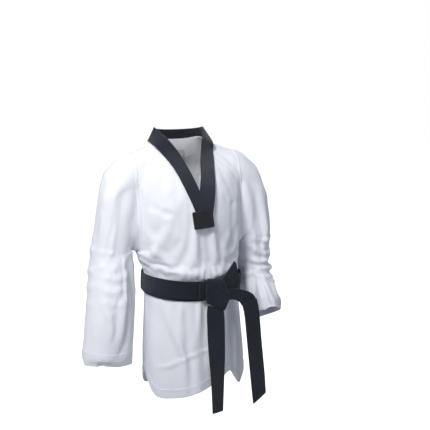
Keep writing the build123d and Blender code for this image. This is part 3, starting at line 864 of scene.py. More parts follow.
def shell(mesh, mask, up=0.0, thick=CLOTH, key=None, end=None, ripple=None):
    """Cloth of real thickness over the chosen faces; up is how far its outer side stands off."""
    quads = QUADS[mask]
    ids = np.unique(quads)
    renumber = np.full(len(POINTS), -1)
    renumber[ids] = np.arange(len(ids))
    quads = renumber[quads]
    normal, base = NORMALS[ids], POINTS[ids]
    straight, weave = CARRIED["straight"][ids], CARRIED["weave"][ids]
    if end is not None:
        base = base + end(straight)
    lift = np.full(len(ids), up)
    if ripple is not None:
        lift = lift + ripple(straight)
    outer, inner = base + normal * lift[:, None], base + normal * (lift - thick)[:, None]
    weight = CARRIED[key][ids] if key else np.zeros(len(ids))
    mesh.put(outer, quads, 0, weight, weave, normal)
    mesh.put(inner, quads[:, ::-1], 0, weight, weave, -normal)
    # the open edges, closed by a rim of its own
    seen = dict.fromkeys(edge for quad in quads.tolist()
                         for edge in zip(quad, quad[1:] + quad[:1]))
    edges = [edge for edge in seen if edge[::-1] not in seen]
    used = sorted({i for edge in edges for i in edge})
    place = {v: i for i, v in enumerate(used)}
    size = len(used)
    rim = [[place[b], place[a], place[a] + size, place[b] + size] for a, b in edges]
    mesh.put(np.vstack([outer[used], inner[used]]), rim, 0,
             np.concatenate([weight[used]] * 2), np.vstack([weave[used]] * 2))


def dashes(mesh, line, normals, weight=0.0, slot=1, length=2.3, gap=1.1, wide=.34, high=.34,
           closed=False, lift=0.0):
    """A row of stitches along a line; the stitch's own sizes are in mm, lift in metres."""
    weight = np.broadcast_to(np.asarray(weight, float), (len(line),))
    if closed:
        line, normals = np.vstack([line, line[:1]]), np.vstack([normals, normals[:1]])
        weight = np.append(weight, weight[0])
    run = run_length(line)
    count = int(run[-1] / ((length + gap) * MM))
    if count < 1:
        return
    start = np.arange(count) * (length + gap) * MM + 0.5 * MM
    middle = start + length * MM * .5
    stations = [along(start + length * MM * k, run, line) for k in (0, .22, .78, 1)]
    up = unit(along(middle, run, normals))
    across = np.cross(up, unit(stations[3] - stations[0]))
    half, height = wide * MM, high * MM
    sunk = up * (lift - .0002)
    rows = [stations[0] + sunk]
    for station in stations[1:3]:
        rows += [station + up * (lift + height), station + across * half + up * lift,
                 station + up * (lift - height * .6), station - across * half + up * lift]
    rows.append(stations[3] + sunk)
    faces = []
    for o in range(0, count * 10, 10):
        for i in range(4):
            j = (i + 1) % 4
            faces += [[o, o + 1 + j, o + 1 + i], [o + 1 + i, o + 1 + j, o + 5 + j, o + 5 + i],
                      [o + 9, o + 5 + i, o + 5 + j]]
    weights = np.repeat(np.interp(middle, run, weight), 10)
    mesh.put(np.stack(rows, 1).reshape(-1, 3), faces, slot, weights)


def on_cloth(points, key=None):
    """Nearest place on the cloth for each point: position, normal, weight."""
    places, normals, weights = [], [], []
    for point in points:
        place, _, index, _ = SURFACE.find_nearest(Vector(point))
        quad = QUADS[index]
        places.append(tuple(place))
        normals.append(unit(NORMALS[quad].mean(0)))
        weights.append(CARRIED[key][quad].mean() if key else 0.0)
    return np.array(places), np.array(normals), np.array(weights)


def cloth_row(mesh, line, key, lift, closed=False, **stitch):
    places, normals, weights = on_cloth(sample(line, 0.003, closed), key)
    dashes(mesh, places, normals, weights, closed=closed, lift=lift, **stitch)


def welt(mesh, line, width, high):
    """A felled seam: a low flat fold of cloth following a line, with two rows of stitches."""
    centre, normal, _ = on_cloth(sample(line, 0.004))
    across = unit(np.cross(normal, unit(np.gradient(centre, axis=0))))
    # section: place across as a share of half the width, height
    section = [(-1.0, -.0004), (-.86, high * .75), (-.5, high), (0, high * .86), (.5, high),
               (.86, high * .75), (1.0, -.0004)]
    size, count = len(section), len(centre)
    points = np.stack([centre + across * (width / 2 * x) + normal * y for x, y in section], 1)
    points = points.reshape(-1, 3)
    faces = [[i * size + j, (i + 1) * size + j, (i + 1) * size + j + 1, i * size + j + 1]
             for i in range(count - 1) for j in range(size - 1)]
    weave = np.stack([np.tile([x * width for x, _ in section], count),
                      np.repeat(np.arange(count) * .004, size), np.zeros(size * count)], 1)
    mesh.put(points, facing(points, faces, size // 2, normal[0]), weave=weave)
    dashes(mesh, centre + normal * (high * .84), normal)
    dashes(mesh, centre - across * width * .33 + normal * (high * .9), normal)


def band(mesh, low_edge, high_edge, normals, thick=.0031, channels=7, weight=0.0, crown=0.0,
         caps=True):
    """A strap with its back on two edge lines and its face towards the normals.

    Sewn channels run along it, and crown is how far its middle stands up.
    """
    normals = unit(normals)
    count = len(low_edge)
    width = float(np.median(np.linalg.norm(high_edge - low_edge, axis=1)))
    marks = [(k + 1) / (channels + 1) for k in range(channels)]
    across = [0, .0012 / width * .35, .0012 / width, .0026 / width]
    across += [1 - u for u in across] + [.5]
    for mark in marks:
        across += [mark + d / width for d in (-.0021, -.0010, -.0004, 0, .0004, .0010, .0021)]
    across = np.array(sorted({round(float(min(1, max(0, u))), 6) for u in across}))
    from_edge = np.minimum(np.minimum(across, 1 - across) * width / (thick / 2), 1)
    rounding = np.sqrt(1 - (1 - from_edge) ** 2)
    channel = sum(np.exp(-((across - mark) * width / .00085) ** 2) for mark in marks)
    arch = crown * 4 * across * (1 - across)
    top = thick / 2 * (1 + rounding) - GROOVE * channel + arch
    bottom = (thick / 2 * (1 - rounding) + GROOVE * .6 * channel + arch)[1:-1]
    flat = low_edge[:, None] + (high_edge - low_edge)[:, None] * across[None, :, None]
    under = flat[:, 1:-1] + normals[:, None] * bottom[None, :, None]
    ring = np.concatenate([flat + normals[:, None] * top[None, :, None], under[:, ::-1]], axis=1)
    size = ring.shape[1]
    run = run_length((low_edge + high_edge) / 2)
    weave_x = np.concatenate([across, across[1:-1][::-1]]) * width
    weave = np.stack([np.broadcast_to(weave_x, (count, size)),
                      np.broadcast_to(run[:, None], (count, size)),
                      np.zeros((count, size))], 2).reshape(-1, 3)
    points = ring.reshape(-1, 3)
    faces = grid_faces(count, size)
    weight = np.broadcast_to(np.asarray(weight, float), (count,))
    weights = np.repeat(weight, size)
    if caps:
        for i in (0, count - 1):
            first = len(points)
            points = np.vstack([points, ring[i], ring[i].mean(0)[None]])
            weights = np.concatenate([weights, np.full(size + 1, weight[i])])
            weave = np.vstack([weave, weave[i * size:(i + 1) * size], weave[i * size]])
            for j in range(size):
                a, b = first + j, first + (j + 1) % size
                faces.append([a, b, first + size] if i else [b, a, first + size])
    faces = facing(points, faces, len(across) // 2, normals[0])
    mesh.put(points, faces, 0, weights, weave)
    for mark in marks:
        line = low_edge + (high_edge - low_edge) * mark + normals * (thick - GROOVE)
        dashes(mesh, line, normals, weight, length=2.5, gap=1.2, wide=.26, high=.26)


def strap_edges(sections, count):
    """Smooth low edge, high edge and normals through a strap's sections."""
    sections = np.array(sections, float).reshape(-1, 3, 3)
    low_edge, high_edge, normals = (smooth_line(sections[:, i], count) for i in range(3))
    return low_edge, high_edge, unit(normals)


# ---------------------------------------------------------------- materials
def add_node(tree, kind, settings=(), inputs=()):
    made = tree.nodes.new("ShaderNode" + kind)
    for name, value in dict(settings).items():
        setattr(made, name, value)
    for name, value in dict(inputs).items():
        made.inputs[name].default_value = value
    return made


def cloth_material(name, colour, mottle, pitch, bump, sheen, rough, rib=False):
    """Woven cloth: crossed waves on the weave coordinates, mottled in colour."""
    material = bpy.data.materials.new(name)
    material.use_nodes = True
    tree = material.node_tree
    link = tree.links.new
    shader = tree.nodes["Principled BSDF"]
    coords = add_node(tree, "Attribute", {"attribute_name": "st"})
    place = add_node(tree, "TexCoord")
    cloudy = add_node(tree, "TexNoise", inputs={"Scale": 9.0, "Detail": 6.0})
    fibres = add_node(tree, "TexNoise", inputs={"Scale": 420.0, "Detail": 3.0})
    for noise in (cloudy, fibres):
        link(place.outputs["Object"], noise.inputs["Vector"])
    threads = []
    for axis, spacing in (("X", pitch), ("Y", pitch * (.8 if rib else 1.0))):
        wave = add_node(tree, "TexWave", {"wave_type": "BANDS", "bands_direction": axis},
                        {"Scale": 0.314 / spacing, "Distortion": 0.5, "Detail": 1.0,
                         "Detail Scale": 3.0})
        link(coords.outputs["Vector"], wave.inputs["Vector"])
        threads.append(wave)
    crossed = add_node(tree, "Math", {"operation": "ADD" if rib else "MULTIPLY"})
    for i, wave in enumerate(threads):
        link(wave.outputs["Fac"], crossed.inputs[i])
    height = add_node(tree, "Math", {"operation": "MULTIPLY_ADD"}, {1: 0.6})
    link(fibres.outputs["Fac"], height.inputs[0])
    link(crossed.outputs[0], height.inputs[2])
    relief = add_node(tree, "Bump", inputs={"Strength": bump, "Distance": 0.0004})
    link(height.outputs[0], relief.inputs["Height"])
    link(relief.outputs["Normal"], shader.inputs["Normal"])
    mottled = add_node(tree, "Mix", {"data_type": "RGBA"}, {"A": (*colour, 1), "B": (*mottle, 1)})
    patches = add_node(tree, "MapRange", inputs={"From Min": 0.35, "From Max": 0.68})
    link(cloudy.outputs["Fac"], patches.inputs["Value"])
    link(patches.outputs["Result"], mottled.inputs["Factor"])
    shaded = add_node(tree, "Mix", {"data_type": "RGBA", "blend_type": "MULTIPLY"},
                      {"Factor": 0.22 if rib else 0.06})
    link(mottled.outputs["Result"], shaded.inputs["A"])
    grey = add_node(tree, "CombineColor")
    for channel in ("Red", "Green", "Blue"):
        link(crossed.outputs[0], grey.inputs[channel])
    link(grey.outputs["Color"], shaded.inputs["B"])
    link(shaded.outputs["Result"], shader.inputs["Base Color"])
    roughness = add_node(tree, "MapRange", inputs={"To Min": rough - .06, "To Max": rough + .06})
    link(fibres.outputs["Fac"], roughness.inputs["Value"])
    link(roughness.outputs["Result"], shader.inputs["Roughness"])
    shader.inputs["Sheen Weight"].default_value = sheen
    shader.inputs["Sheen Roughness"].default_value = 0.45
    shader.inputs["Specular IOR Level"].default_value = 0.25
    return material


# Name, colour, mottle colour, thread pitch, bump strength, sheen, roughness, ribbed
WHITE, WHITE_HEM, LINING, BLACK, COLLAR, PATCH, THREAD_W, THREAD_B, SATIN, PATCH_EDGE = (
    cloth_material(*row) for row in (
        ("white_cotton_blend", (.83, .85, .90), (.86, .875, .915), .0011, .35, .25, .82),
        ("white_cotton_hem", (.80, .82, .875), (.84, .86, .905), .0011, .4, .25, .84),
        ("white_lining", (.74, .76, .80), (.78, .80, .84), .0009, .3, .3, .86),
        ("black_belt_cotton", (.007, .01, .0185), (.012, .0165, .0285), .0016, .9, .18, .74, True),
        ("black_collar_cotton", (.013, .017, .0275), (.019, .0245, .038), .0014, .8, .25, .78,
         True),
        ("black_patch_twill", (.008, .0095, .014), (.013, .015, .021), .0010, .8, .2, .60, True),
        ("white_thread", (.70, .72, .78), (.76, .78, .83), .0004, .5, .3, .55),
        ("black_thread", (.022, .027, .040), (.034, .040, .055), .0004, .5, .2, .5),
        ("label_satin", (.60, .62, .66), (.66, .68, .71), .0006, .3, .4, .42),
        ("patch_edge_thread", (.012, .014, .020), (.020, .023, .031), .0005, .9, .2, .52, True)))
JACKET_SET = [WHITE, THREAD_W]
HEM_SET = [WHITE_HEM, THREAD_W]
COLLAR_SET = [COLLAR, THREAD_B]
BELT_SET = [BLACK, THREAD_B]


# ---------------------------------------------------------------- jacket body
def side_line(column):
    """A column of the grid from just above the belt up to the underarm."""
    return DRAPED[low[LOW_Z > .300, column]]


def front_body():
    mesh = Mesh()
    shell(mesh, PARTS == PART["front_body"])
    for k in (0, LAST):
        welt(mesh, DRAPED[front[:, k]], width=.0062, high=.0009)
    for shoulder in (front[UPPER, :10], front[UPPER, LAST - 9:]):
        welt(mesh, DRAPED[shoulder], width=.0060, high=.0008)
    for column in (0, LAST):
        cloth_row(mesh, side_line(column), None, lift=.0001)
    mesh.ride("front_body", JACKET_SET)


def back_body():
    mesh = Mesh()
    shell(mesh, PARTS == PART["back_body"])
    for k in (0, LAST):
        welt(mesh, DRAPED[back[:, k]], width=.0062, high=.0009)
    cloth_row(mesh, DRAPED[back[UPPER - 5, 2:LAST - 1]], None, lift=.0001)   # across the shoulders
    for column in (LEFT_BACK, RIGHT_BACK):
        cloth_row(mesh, side_line(column), None, lift=.0001)
    mesh.ride("back_body", JACKET_SET)


def side_panel(name, column):
    mesh = Mesh()
    shell(mesh, PARTS == PART[name])
    welt(mesh, side_line(column), width=.0058, high=.0008)
    mesh.ride(name, JACKET_SET)


def shoulder_lining(side, name):
    mesh = Mesh()
    outward = CENTRES[:, 0] * side
    shell(mesh, (PARTS <= PART["back_body"]) & (CENTRE_Z > .575) & (outward > .074)
          & (outward < .135), up=-.0020, thick=.0008)
    mesh.ride(name + "_shoulder_lining", [LINING])


def neck_label():
    mesh = Mesh()
    shell(mesh, (PARTS == PART["back_body"]) & (np.abs(CENTRES[:, 0]) < .024)
          & (CENTRE_Z > .620) & (CENTRE_Z < .650), up=-.0022, thick=.0007)
    mesh.ride("neck_label", [SATIN])


front_body()
back_body()
side_panel("right_side_panel", VENT_R)
side_panel("left_side_panel", VENT_L)
for side, name in SIDES:
    shoulder_lining(side, name)
neck_label()

# ---------------------------------------------------------------- skirts, hems, vents
SKIRT_SPAN = ((0, 0, FLAP_TOP), (0, 0, FLAP_FULL))


def hem_end(straight):
    """Runs the hem's lowest edge on a little, to cover the skirt's."""
    out = np.zeros_like(straight)
    out[:, 2] = np.where(straight[:, 2] < 1e-4, -.0012, 0.0)
    return out


def hem_ripple(straight):
    x, _, z = straight.T
    return .00022 * np.sin(x * 700 + 9 * np.sin(x * 60)) * (z > .002)


def skirt(name, first_vent, last_vent):
    """The front or back skirt and its hem, between two vents going round to the left."""
    mask = PARTS == PART[name + "_skirt"]
    mesh = Mesh()
    shell(mesh, mask, key="skirt")
    rows = (LOW_Z > .004) & (LOW_Z < VENT_TOP + .006)
    for vent, inwards in ((first_vent, 1), (last_vent, -1)):
        edge, inner = low[rows, vent], low[rows, (vent + inwards) % RING]
        cloth_row(mesh, DRAPED[edge] * .72 + DRAPED[inner] * .28, "skirt", lift=.0001)
    mesh.blend(name + "_skirt", JACKET_SET, "torso", name + "_flap", SKIRT_SPAN)
    mesh = Mesh()
    shell(mesh, mask & (CENTRE_Z < HEM), up=.0008, thick=.0030, key="skirt", end=hem_end,
          ripple=hem_ripple)
    end = last_vent if last_vent > first_vent else last_vent + RING
    columns = np.arange(first_vent + 1, end) % RING
    for height in (.0045, .0205):
        j = int(height / ROW_STEP)
        q = height / ROW_STEP - j
        line = DRAPED[low[j, columns]] * (1 - q) + DRAPED[low[j + 1, columns]] * q
        cloth_row(mesh, line, "skirt", lift=.0010)
    mesh.blend(name + "_hem", HEM_SET, "torso", name + "_flap", SKIRT_SPAN)


def vent_facing(name, side, vent):
    vent_x, vent_y, _ = STRAIGHT[low[10, vent]]
    near_vent = (np.abs(CENTRES[:, 1] - vent_y) < .024) & (CENTRES[:, 0] * vent_x > 0)
    mesh = Mesh()
    shell(mesh, (PARTS == PART[name + "_skirt"]) & near_vent & (CENTRE_Z > HEM)
          & (CENTRE_Z < VENT_TOP - .002), up=-.0017, thick=.0008, key="skirt")
    mesh.blend(f"{name}_{side}_vent_facing", [LINING], "torso", name + "_flap", SKIRT_SPAN)


def vent_tack(name, vent):
    """A small block of long stitches at the top of a vent."""
    mesh = Mesh()
    x, y, top = DRAPED[low[int(VENT_TOP / ROW_STEP) + 1, vent]]
    for i in range(9):
        z = top - .004 + i * .0009
        places, normals, _ = on_cloth([(x, y - .004, z), (x, y, z), (x, y + .004, z)])
        dashes(mesh, places, normals, slot=0, length=6.5, gap=.4, wide=.42, high=.5, lift=.0003)
    mesh.ride(name + "_vent_tack", [THREAD_W])


VENTS = (("right", VENT_R), ("left", VENT_L))
skirt("front", VENT_R, VENT_L)
skirt("back", VENT_L, VENT_R)
for name in ("front", "back"):
    for side, vent in VENTS:
        vent_facing(name, side, vent)
for side, vent in VENTS:
    vent_tack(side, vent)


# ---------------------------------------------------------------- sleeves and cuffs
def sleeve(side, name):
    grid = SLEEVES[side]
    upper_arm, forearm = name + "_upper_arm", name + "_forearm"
    elbow_span = ((side * .21, 0, ELBOW_SEAM), (side * .21, 0, ELBOW_END))
    mesh = Mesh()
    shell(mesh, PARTS == PART[name + "_upper_sleeve"], key="shoulder")
    mesh.blend(name + "_upper_sleeve", JACKET_SET, "torso", upper_arm,
               ((side * ARM_X, 0, .52), (side * .20, 0, .40)))
    lower = PARTS == PART[name + "_lower_sleeve"]
    mesh = Mesh()
    shell(mesh, lower, key="elbow")
    mesh.blend(name + "_lower_sleeve", JACKET_SET, upper_arm, forearm, elbow_span)

    cuff_z = ARMS[side][0, 0]
    row_z = np.array([STRAIGHT[row[0], 2] for row in grid[HEAD_RINGS:]])
    axis = unit(DRAPED[grid[-1]].mean(0) - DRAPED[grid[-4]].mean(0))

    def cuff_end(straight):
        return (straight[:, 2] < cuff_z + 1e-4)[:, None] * axis * .0012

    def cuff_ripple(straight):
        return .00022 * np.sin(straight[:, 1] * 900 + straight[:, 0] * 300)

    mesh = Mesh()
    shell(mesh, lower & (CENTRE_Z < cuff_z + .034), up=.0009, thick=.0032, key="elbow",
          end=cuff_end, ripple=cuff_ripple)
    for height in (.004, .0105, .017, .0235, .030):
        ring = np.interp(-(cuff_z + height), -row_z, np.arange(len(row_z))) + HEAD_RINGS
        r = min(int(ring), len(grid) - 2)
        q = ring - r
        line = DRAPED[grid[r]] * (1 - q) + DRAPED[grid[r + 1]] * q
        cloth_row(mesh, line, "elbow", lift=.0011, closed=True, wide=.42, high=.42)
    mesh.blend(name + "_cuff_hem", HEM_SET, upper_arm, forearm, elbow_span)


for side, name in SIDES:
    sleeve(side, name)

# ---------------------------------------------------------------- lapels, neck band
# Lapel edges on the chest from the bottom up, as x, z: outer edge, then inner edge
LAPEL_EDGES = {
    -1: ([(-.0010, .469), (-.0147, .506), (-.0245, .534), (-.0349, .563), (-.0440, .592),
          (-.0546, .621), (-.0700, .646)],
         [(.0285, .472), (.0172, .510), (.0102, .534), (.0023, .559), (-.0070, .592),
          (-.0150, .621), (-.0255, .650)]),
    1: ([(.0255, .470), (.0355, .508), (.0468, .552), (.0581, .596), (.0650, .616),
         (.0700, .634), (.0725, .650)],
        [(-.0165, .473), (-.0080, .512), (.0034, .559), (.0155, .592), (.0237, .616),
         (.0300, .634), (.0362, .653)]),
}
# Lapel sections over the shoulder, x outwards: outer edge, inner edge, normal
LAPEL_TOPS = {
    -1: [((.0870, -.034, .668), (.0530, -.0345, .687), (.42, -.72, .55)),
         ((.0950, -.003, .6800), (.0775, -.003, .7160), (.88, -.10, .45))],
    1: [((.0755, -.034, .669), (.0430, -.0345, .684), (.35, -.72, .60)),
        ((.0790, -.003, .6830), (.0560, -.003, .7150), (.80, -.10, .58))],
}


def front_y(x, z):
    cx, cy, half_width, half_depth = torso(z)
    u = min(0.995, abs(x - cx) / half_width)
    return cy - half_depth * math.sqrt(1 - u * u)


def on_front(x, z, off):
    """A point standing off the chest, and the chest's normal there."""
    e = .002
    slope_x = (front_y(x + e, z) - front_y(x - e, z)) / (2 * e)
    slope_z = (front_y(x, z + e) - front_y(x, z - e)) / (2 * e)
    normal = unit(np.array([slope_x, -1.0, slope_z]))
    return np.array([x, front_y(x, z), z]) + normal * off, normal


def lapel(side, name):
    """Builds a lapel; returns its last section, where the neck band joins."""
    sections = []
    for i, (outer, inner) in enumerate(zip(*LAPEL_EDGES[side])):
        off = .0014 + .0012 * smooth01((i - 1) / 2)
        if side > 0:      # the left lapel crosses over the right one
            off += .0032 * (1 - smooth01((i - 1.4) / 1.8))
        outer_point, outer_normal = on_front(*outer, off)
        inner_point, inner_normal = on_front(*inner, off + .0005)
        sections.append((outer_point, inner_point, unit(outer_normal + inner_normal)))
    for section in LAPEL_TOPS[side]:
        outer, inner, normal = np.array(section) * [side, 1, 1]
        sections.append((outer, inner, unit(normal)))
    edges = strap_edges(sections, 90)
    mesh = Mesh()
    band(mesh, *edges, thick=.0030, channels=5)
    mesh.ride(name, COLLAR_SET, name, name + "_core")
    return [line[-1] for line in edges]


def neck_band(right_end, left_end):
    """The collar round the back of the neck, from the left lapel to the right one."""
    sections = []
    for angle in np.radians([0, 22, 45, 68, 90, 112, 135, 158, 180]):
        c, s = math.cos(angle), math.sin(angle)
        centre = np.array([.0765 * c - .0090, .046 * s - .003 * c ** 2, .698 - .010 * s])
        half = unit(np.array([-.50 * c, -.36 * s, .86])) * .0203
        sections.append((centre - half, centre + half, unit(np.array([.78 * c, .9 * s, .45]))))
    sections[0], sections[-1] = left_end, right_end
    mesh = Mesh()
    band(mesh, *strap_edges(sections, 90), thick=.0030, channels=5)
    mesh.ride("back_neck_band", COLLAR_SET, "back_neck_band", "back_neck_core")


neck_band(*[lapel(side, name + "_lapel") for side, name in SIDES])


# ---------------------------------------------------------------- patch
def neck_patch():
    """Blank patch over the crossing of the lapels, with a corded edge."""
    centre = np.array([.0040, -.1452, .4858])
    right, up = unit(np.array([.996, .02, .087])), unit(np.array([-.087, .165, .98]))
    normal = unit(np.cross(right, up))
    half_width, half_height, corner = .0275, .0222, .003

    def place(flat, height):
        """Points over the patch's plane, which curves back a little with the chest."""
        drop = .0011 * (flat[:, 0] / half_width) ** 2
        return centre + flat[:, :1] * right + flat[:, 1:] * up + normal * (height - drop)[:, None]

    rim = []
    for x, z, start in ((1, 1, 0), (-1, 1, 90), (-1, -1, 180), (1, -1, 270)):
        for a in np.radians(np.linspace(start, start + 90, 7)):
            rim.append((x * (half_width - corner) + corner * math.cos(a),
                        z * (half_height - corner) + corner * math.sin(a)))
    rim = np.array(rim)
    # rings from the middle of the back round to the middle of the face: scale, height
    levels = [(.02, -.0006), (.6, -.0006), (1.0, -.0006), (1.0, .0004), (.985, .0009),
              (.93, .0010), (.6, .0011), (.25, .0011), (.02, .0011)]
    points, faces = loft([place(rim * scale, height) for scale, height in levels])
    flat = np.vstack([rim * scale for scale, _ in levels] + [np.zeros((2, 2))])
    mesh = Mesh()
    mesh.put(points, facing(points, faces, 6 * len(rim) + 2, normal),
             weave=np.hstack([flat, np.zeros((len(flat), 1))]))

    # corded edge: a slightly lumpy tube
    flat_edge = np.hstack([rim * [.985, .98], np.zeros((len(rim), 1))])
    cord = place(sample(flat_edge, .0008, True)[:, :2], .0006)
    count, around = len(cord), 10
    across = unit(np.cross(normal, unit(np.roll(cord, -1, 0) - np.roll(cord, 1, 0))))
    lumps = (1 + .10 * np.sin(np.arange(count) * 2.1))[:, None]
    turns = [2 * math.pi * k / around for k in range(around)]
    tube = np.stack([cord + (across * math.cos(a) * .00125 + normal * math.sin(a) * .00105) * lumps
                     for a in turns], 1).reshape(-1, 3)
    faces = grid_faces(count, around, closed=True)
    weave = np.stack([np.tile(np.arange(around) * .0008, count),
                      np.repeat(np.arange(count) * .0008, around), np.zeros(count * around)], 1)
    mesh.put(tube, facing(tube, faces, 2, tube[faces[2][0]] - cord[0]), slot=1, weave=weave)

    line = sample(place(rim * [.87, .84], .0011), .002, True)
    dashes(mesh, line, np.tile(normal, (len(line), 1)), slot=2, closed=True, wide=.3, high=.3)
    mesh.ride("neck_patch", [PATCH, PATCH_EDGE, THREAD_B])


neck_patch()


# ---------------------------------------------------------------- belt
def belt_wrap(name, gap, raised, phase, tilt):
    """One turn of the belt; gap is how far it stands off, phase sets its unevenness."""
    low_edge, high_edge, normals = [], [], []
    for t in np.linspace(-math.pi, math.pi, 241):
        uneven = .0007 * math.sin(3 * t + phase) + .0005 * math.sin(7 * t + 2 * phase)
        z = (.2965 + raised + .0012 * math.sin(2 * t + phase) + tilt * math.sin(t)
             + float(belt_rise(t)))
        half_width, half_depth = .1317 + gap + uneven, .1000 + gap + uneven
        lean = .0012 * math.sin(3 * t + phase * 1.7)
        for edge, sign in ((low_edge, -1), (high_edge, 1)):
            out = sign * lean + .0008
            edge.append((BELT_CENTRE[0] + (half_width + out) * math.sin(t),
                         BELT_CENTRE[1] - (half_depth + out) * math.cos(t), z + sign * .0242))
        normals.append((math.sin(t) / half_width * half_depth, -math.cos(t), 0.0))
    mesh = Mesh()
    band(mesh, np.array(low_edge), np.array(high_edge), np.array(normals), crown=.0006, caps=False)
    mesh.ride(name, BELT_SET)


belt_wrap("belt_inner_wrap", gap=.0006, raised=-.0026, phase=.4, tilt=.0006)
belt_wrap("belt_outer_wrap", gap=.0044, raised=.0022, phase=2.1, tilt=-.0008)


def level(x, z):
    return 0 * x


def cross_rows(starts, ends, first=0.0, last=1.0):
    """Six sewn rows, from points along one side to points along the other, as x, z."""
    starts, ends = np.array(starts), np.array(ends)
    return [(starts[0] + (starts[1] - starts[0]) * q, ends[0] + (ends[1] - ends[0]) * q)
            for q in np.linspace(first, last, 6)]


def pillow(name, outline, back_y, front_y, edge, rows, crease, bend=level):
    """A folded run of belt seen from the front, with soft edges and sewn rows across it.

    The outline is x, z; bend moves the whole in y, crease only the front face's middle.
    """
    flat = np.hstack([np.array(outline, float), np.zeros((len(outline), 1))])
    size = 8 * len(flat)
    curved = smooth_line(np.vstack([flat, flat[:1]]), size + 1)[:-1, :2]
    angular = sample(flat, .0001, True)
    picks = np.linspace(0, len(angular) - 1, size + 1).astype(int)[:-1]
    rim = curved * .35 + angular[picks, :2] * .65
    centre = rim.mean(0)
    turn = np.linspace(.4, math.pi / 2, 4)
    scales = np.concatenate([[1.0], 1 - edge / .024 * (1 - np.cos(turn)), np.linspace(.80, .04, 9)])
    heights = np.concatenate([[0.0], np.sin(turn), np.ones(9)])
    middle, half = (back_y + front_y) / 2, (back_y - front_y) / 2
    front_rings, back_rings = [], []
    for scale, height in zip(scales, heights):
        x, z = (centre + (rim - centre) * scale).T
        shift = bend(x, z)
        face_y = middle - half * height + shift + crease(x, z) * height
        front_rings.append(np.stack([x, face_y, z], 1))
        back_rings.append(np.stack([x, middle + half * height + shift, z], 1))
    rings = back_rings[::-1] + front_rings[1:]
    points, faces = loft(rings)
    faces = facing(points, faces, (len(rings) - 2) * size + 1, np.array([0, -1, 0]))
    mesh = Mesh()
    mesh.put(points, faces, weave=np.stack([points[:, 0], points[:, 2], 0 * points[:, 0]], 1))
    for start, end in rows:
        q = np.linspace(0, 1, 24)[:, None]
        x, z = (start * (1 - q) + end * q).T
        line = np.stack([x, middle - half + bend(x, z) + crease(x, z), z], 1)
        dashes(mesh, line, np.tile([0, -1.0, 0], (24, 1)), length=2.5, wide=.28, high=.26)
    mesh.ride(name, BELT_SET)


def knot_under_band():
    outline = [(-.012, .2785), (.020, .2725), (.052, .270), (.053, .300), (.053, .3205),
               (.0156, .3291), (.0072, .3291), (-.0025, .3243), (-.0108, .3278)]

    def crease(x, z):
        return .0008 * np.sin((x + .012) * 160)

    rows = cross_rows([(-.008, .286), (-.008, .318)], [(.050, .282), (.050, .314)])
    pillow("knot_under_band", outline, -.1515, -.1572, .0016, rows, crease)


def knot_over_band():
    outline = [(.0045, .2688), (.028, .257), (.0549, .244), (.066, .263), (.0727, .2804),
               (.0644, .3051), (.051, .3295), (.030, .3310), (.0087, .3317), (.0045, .3114),
               (.0040, .2902)]

    def bend(x, z):
        return (-.0030 * smooth01((.330 - z) / .07) + .0034 * smooth01((z - .318) / .013)
                + .0022 * smooth01((x - .050) / .02))

    def crease(x, z):
        slant = z + (x - .03) * .75
        return (.0011 * np.exp(-((slant - .306) / .0035) ** 2)
                - .0008 * np.exp(-((slant - .314) / .005) ** 2))

    rows = cross_rows([(.0110, .3275), (.0495, .3255)], [(.0075, .2715), (.0540, .2500)], .14, .86)
    pillow("knot_over_band", outline, -.1570, -.1652, .0026, rows, crease, bend)


def knot_wing():
    outline = [(.0550, .2884), (.0540, .3275), (.0751, .3527), (.0890, .3700), (.0948, .3632),
               (.0986, .3437), (.1055, .3167), (.0989, .3007), (.0760, .2850)]

    def bend(x, z):
        return .0035 * smooth01((x - .06) / .045) + .0020 * smooth01((z - .33) / .04)

    def crease(x, z):
        return .0010 * np.exp(-(((z - .318) - (x - .075) * .9) / .004) ** 2)

    rows = cross_rows([(.058, .2925), (.058, .322)], [(.099, .306), (.092, .362)], .1, .9)
    pillow("knot_wing", outline, -.1500, -.1572, .0022, rows, crease, bend)


knot_under_band()
knot_over_band()
knot_wing()

# Strap sections from the knot outwards: low-x or lower edge x, y, z; other edge x, y, z; normal
RIGHT_TAIL = [
    (.0070, -.1625, .2620, .0530, -.1600, .2505, 0, -1, .05),
    (.0040, -.1650, .2400, .0540, -.1630, .2300, .02, -1, .05),
    (.0040, -.1668, .2114, .0544, -.1650, .2054, .05, -1, .03),
    (.0045, -.1690, .1704, .0550, -.1650, .1640, .10, -1, .02),
    (.0060, -.1735, .1250, .0555, -.1640, .1180, .18, -1, .02),
    (.0080, -.1780, .0850, .0550, -.1620, .0760, .28, -1, .02),
    (.0100, -.1820, .0300, .0535, -.1610, .0220, .38, -1, .02),
    (.0115, -.1840, -.0200, .0520, -.1600, -.0280, .44, -1, .02),
    (.0118, -.1843, -.0280, .0516, -.1598, -.0365, .45, -1, .02)]
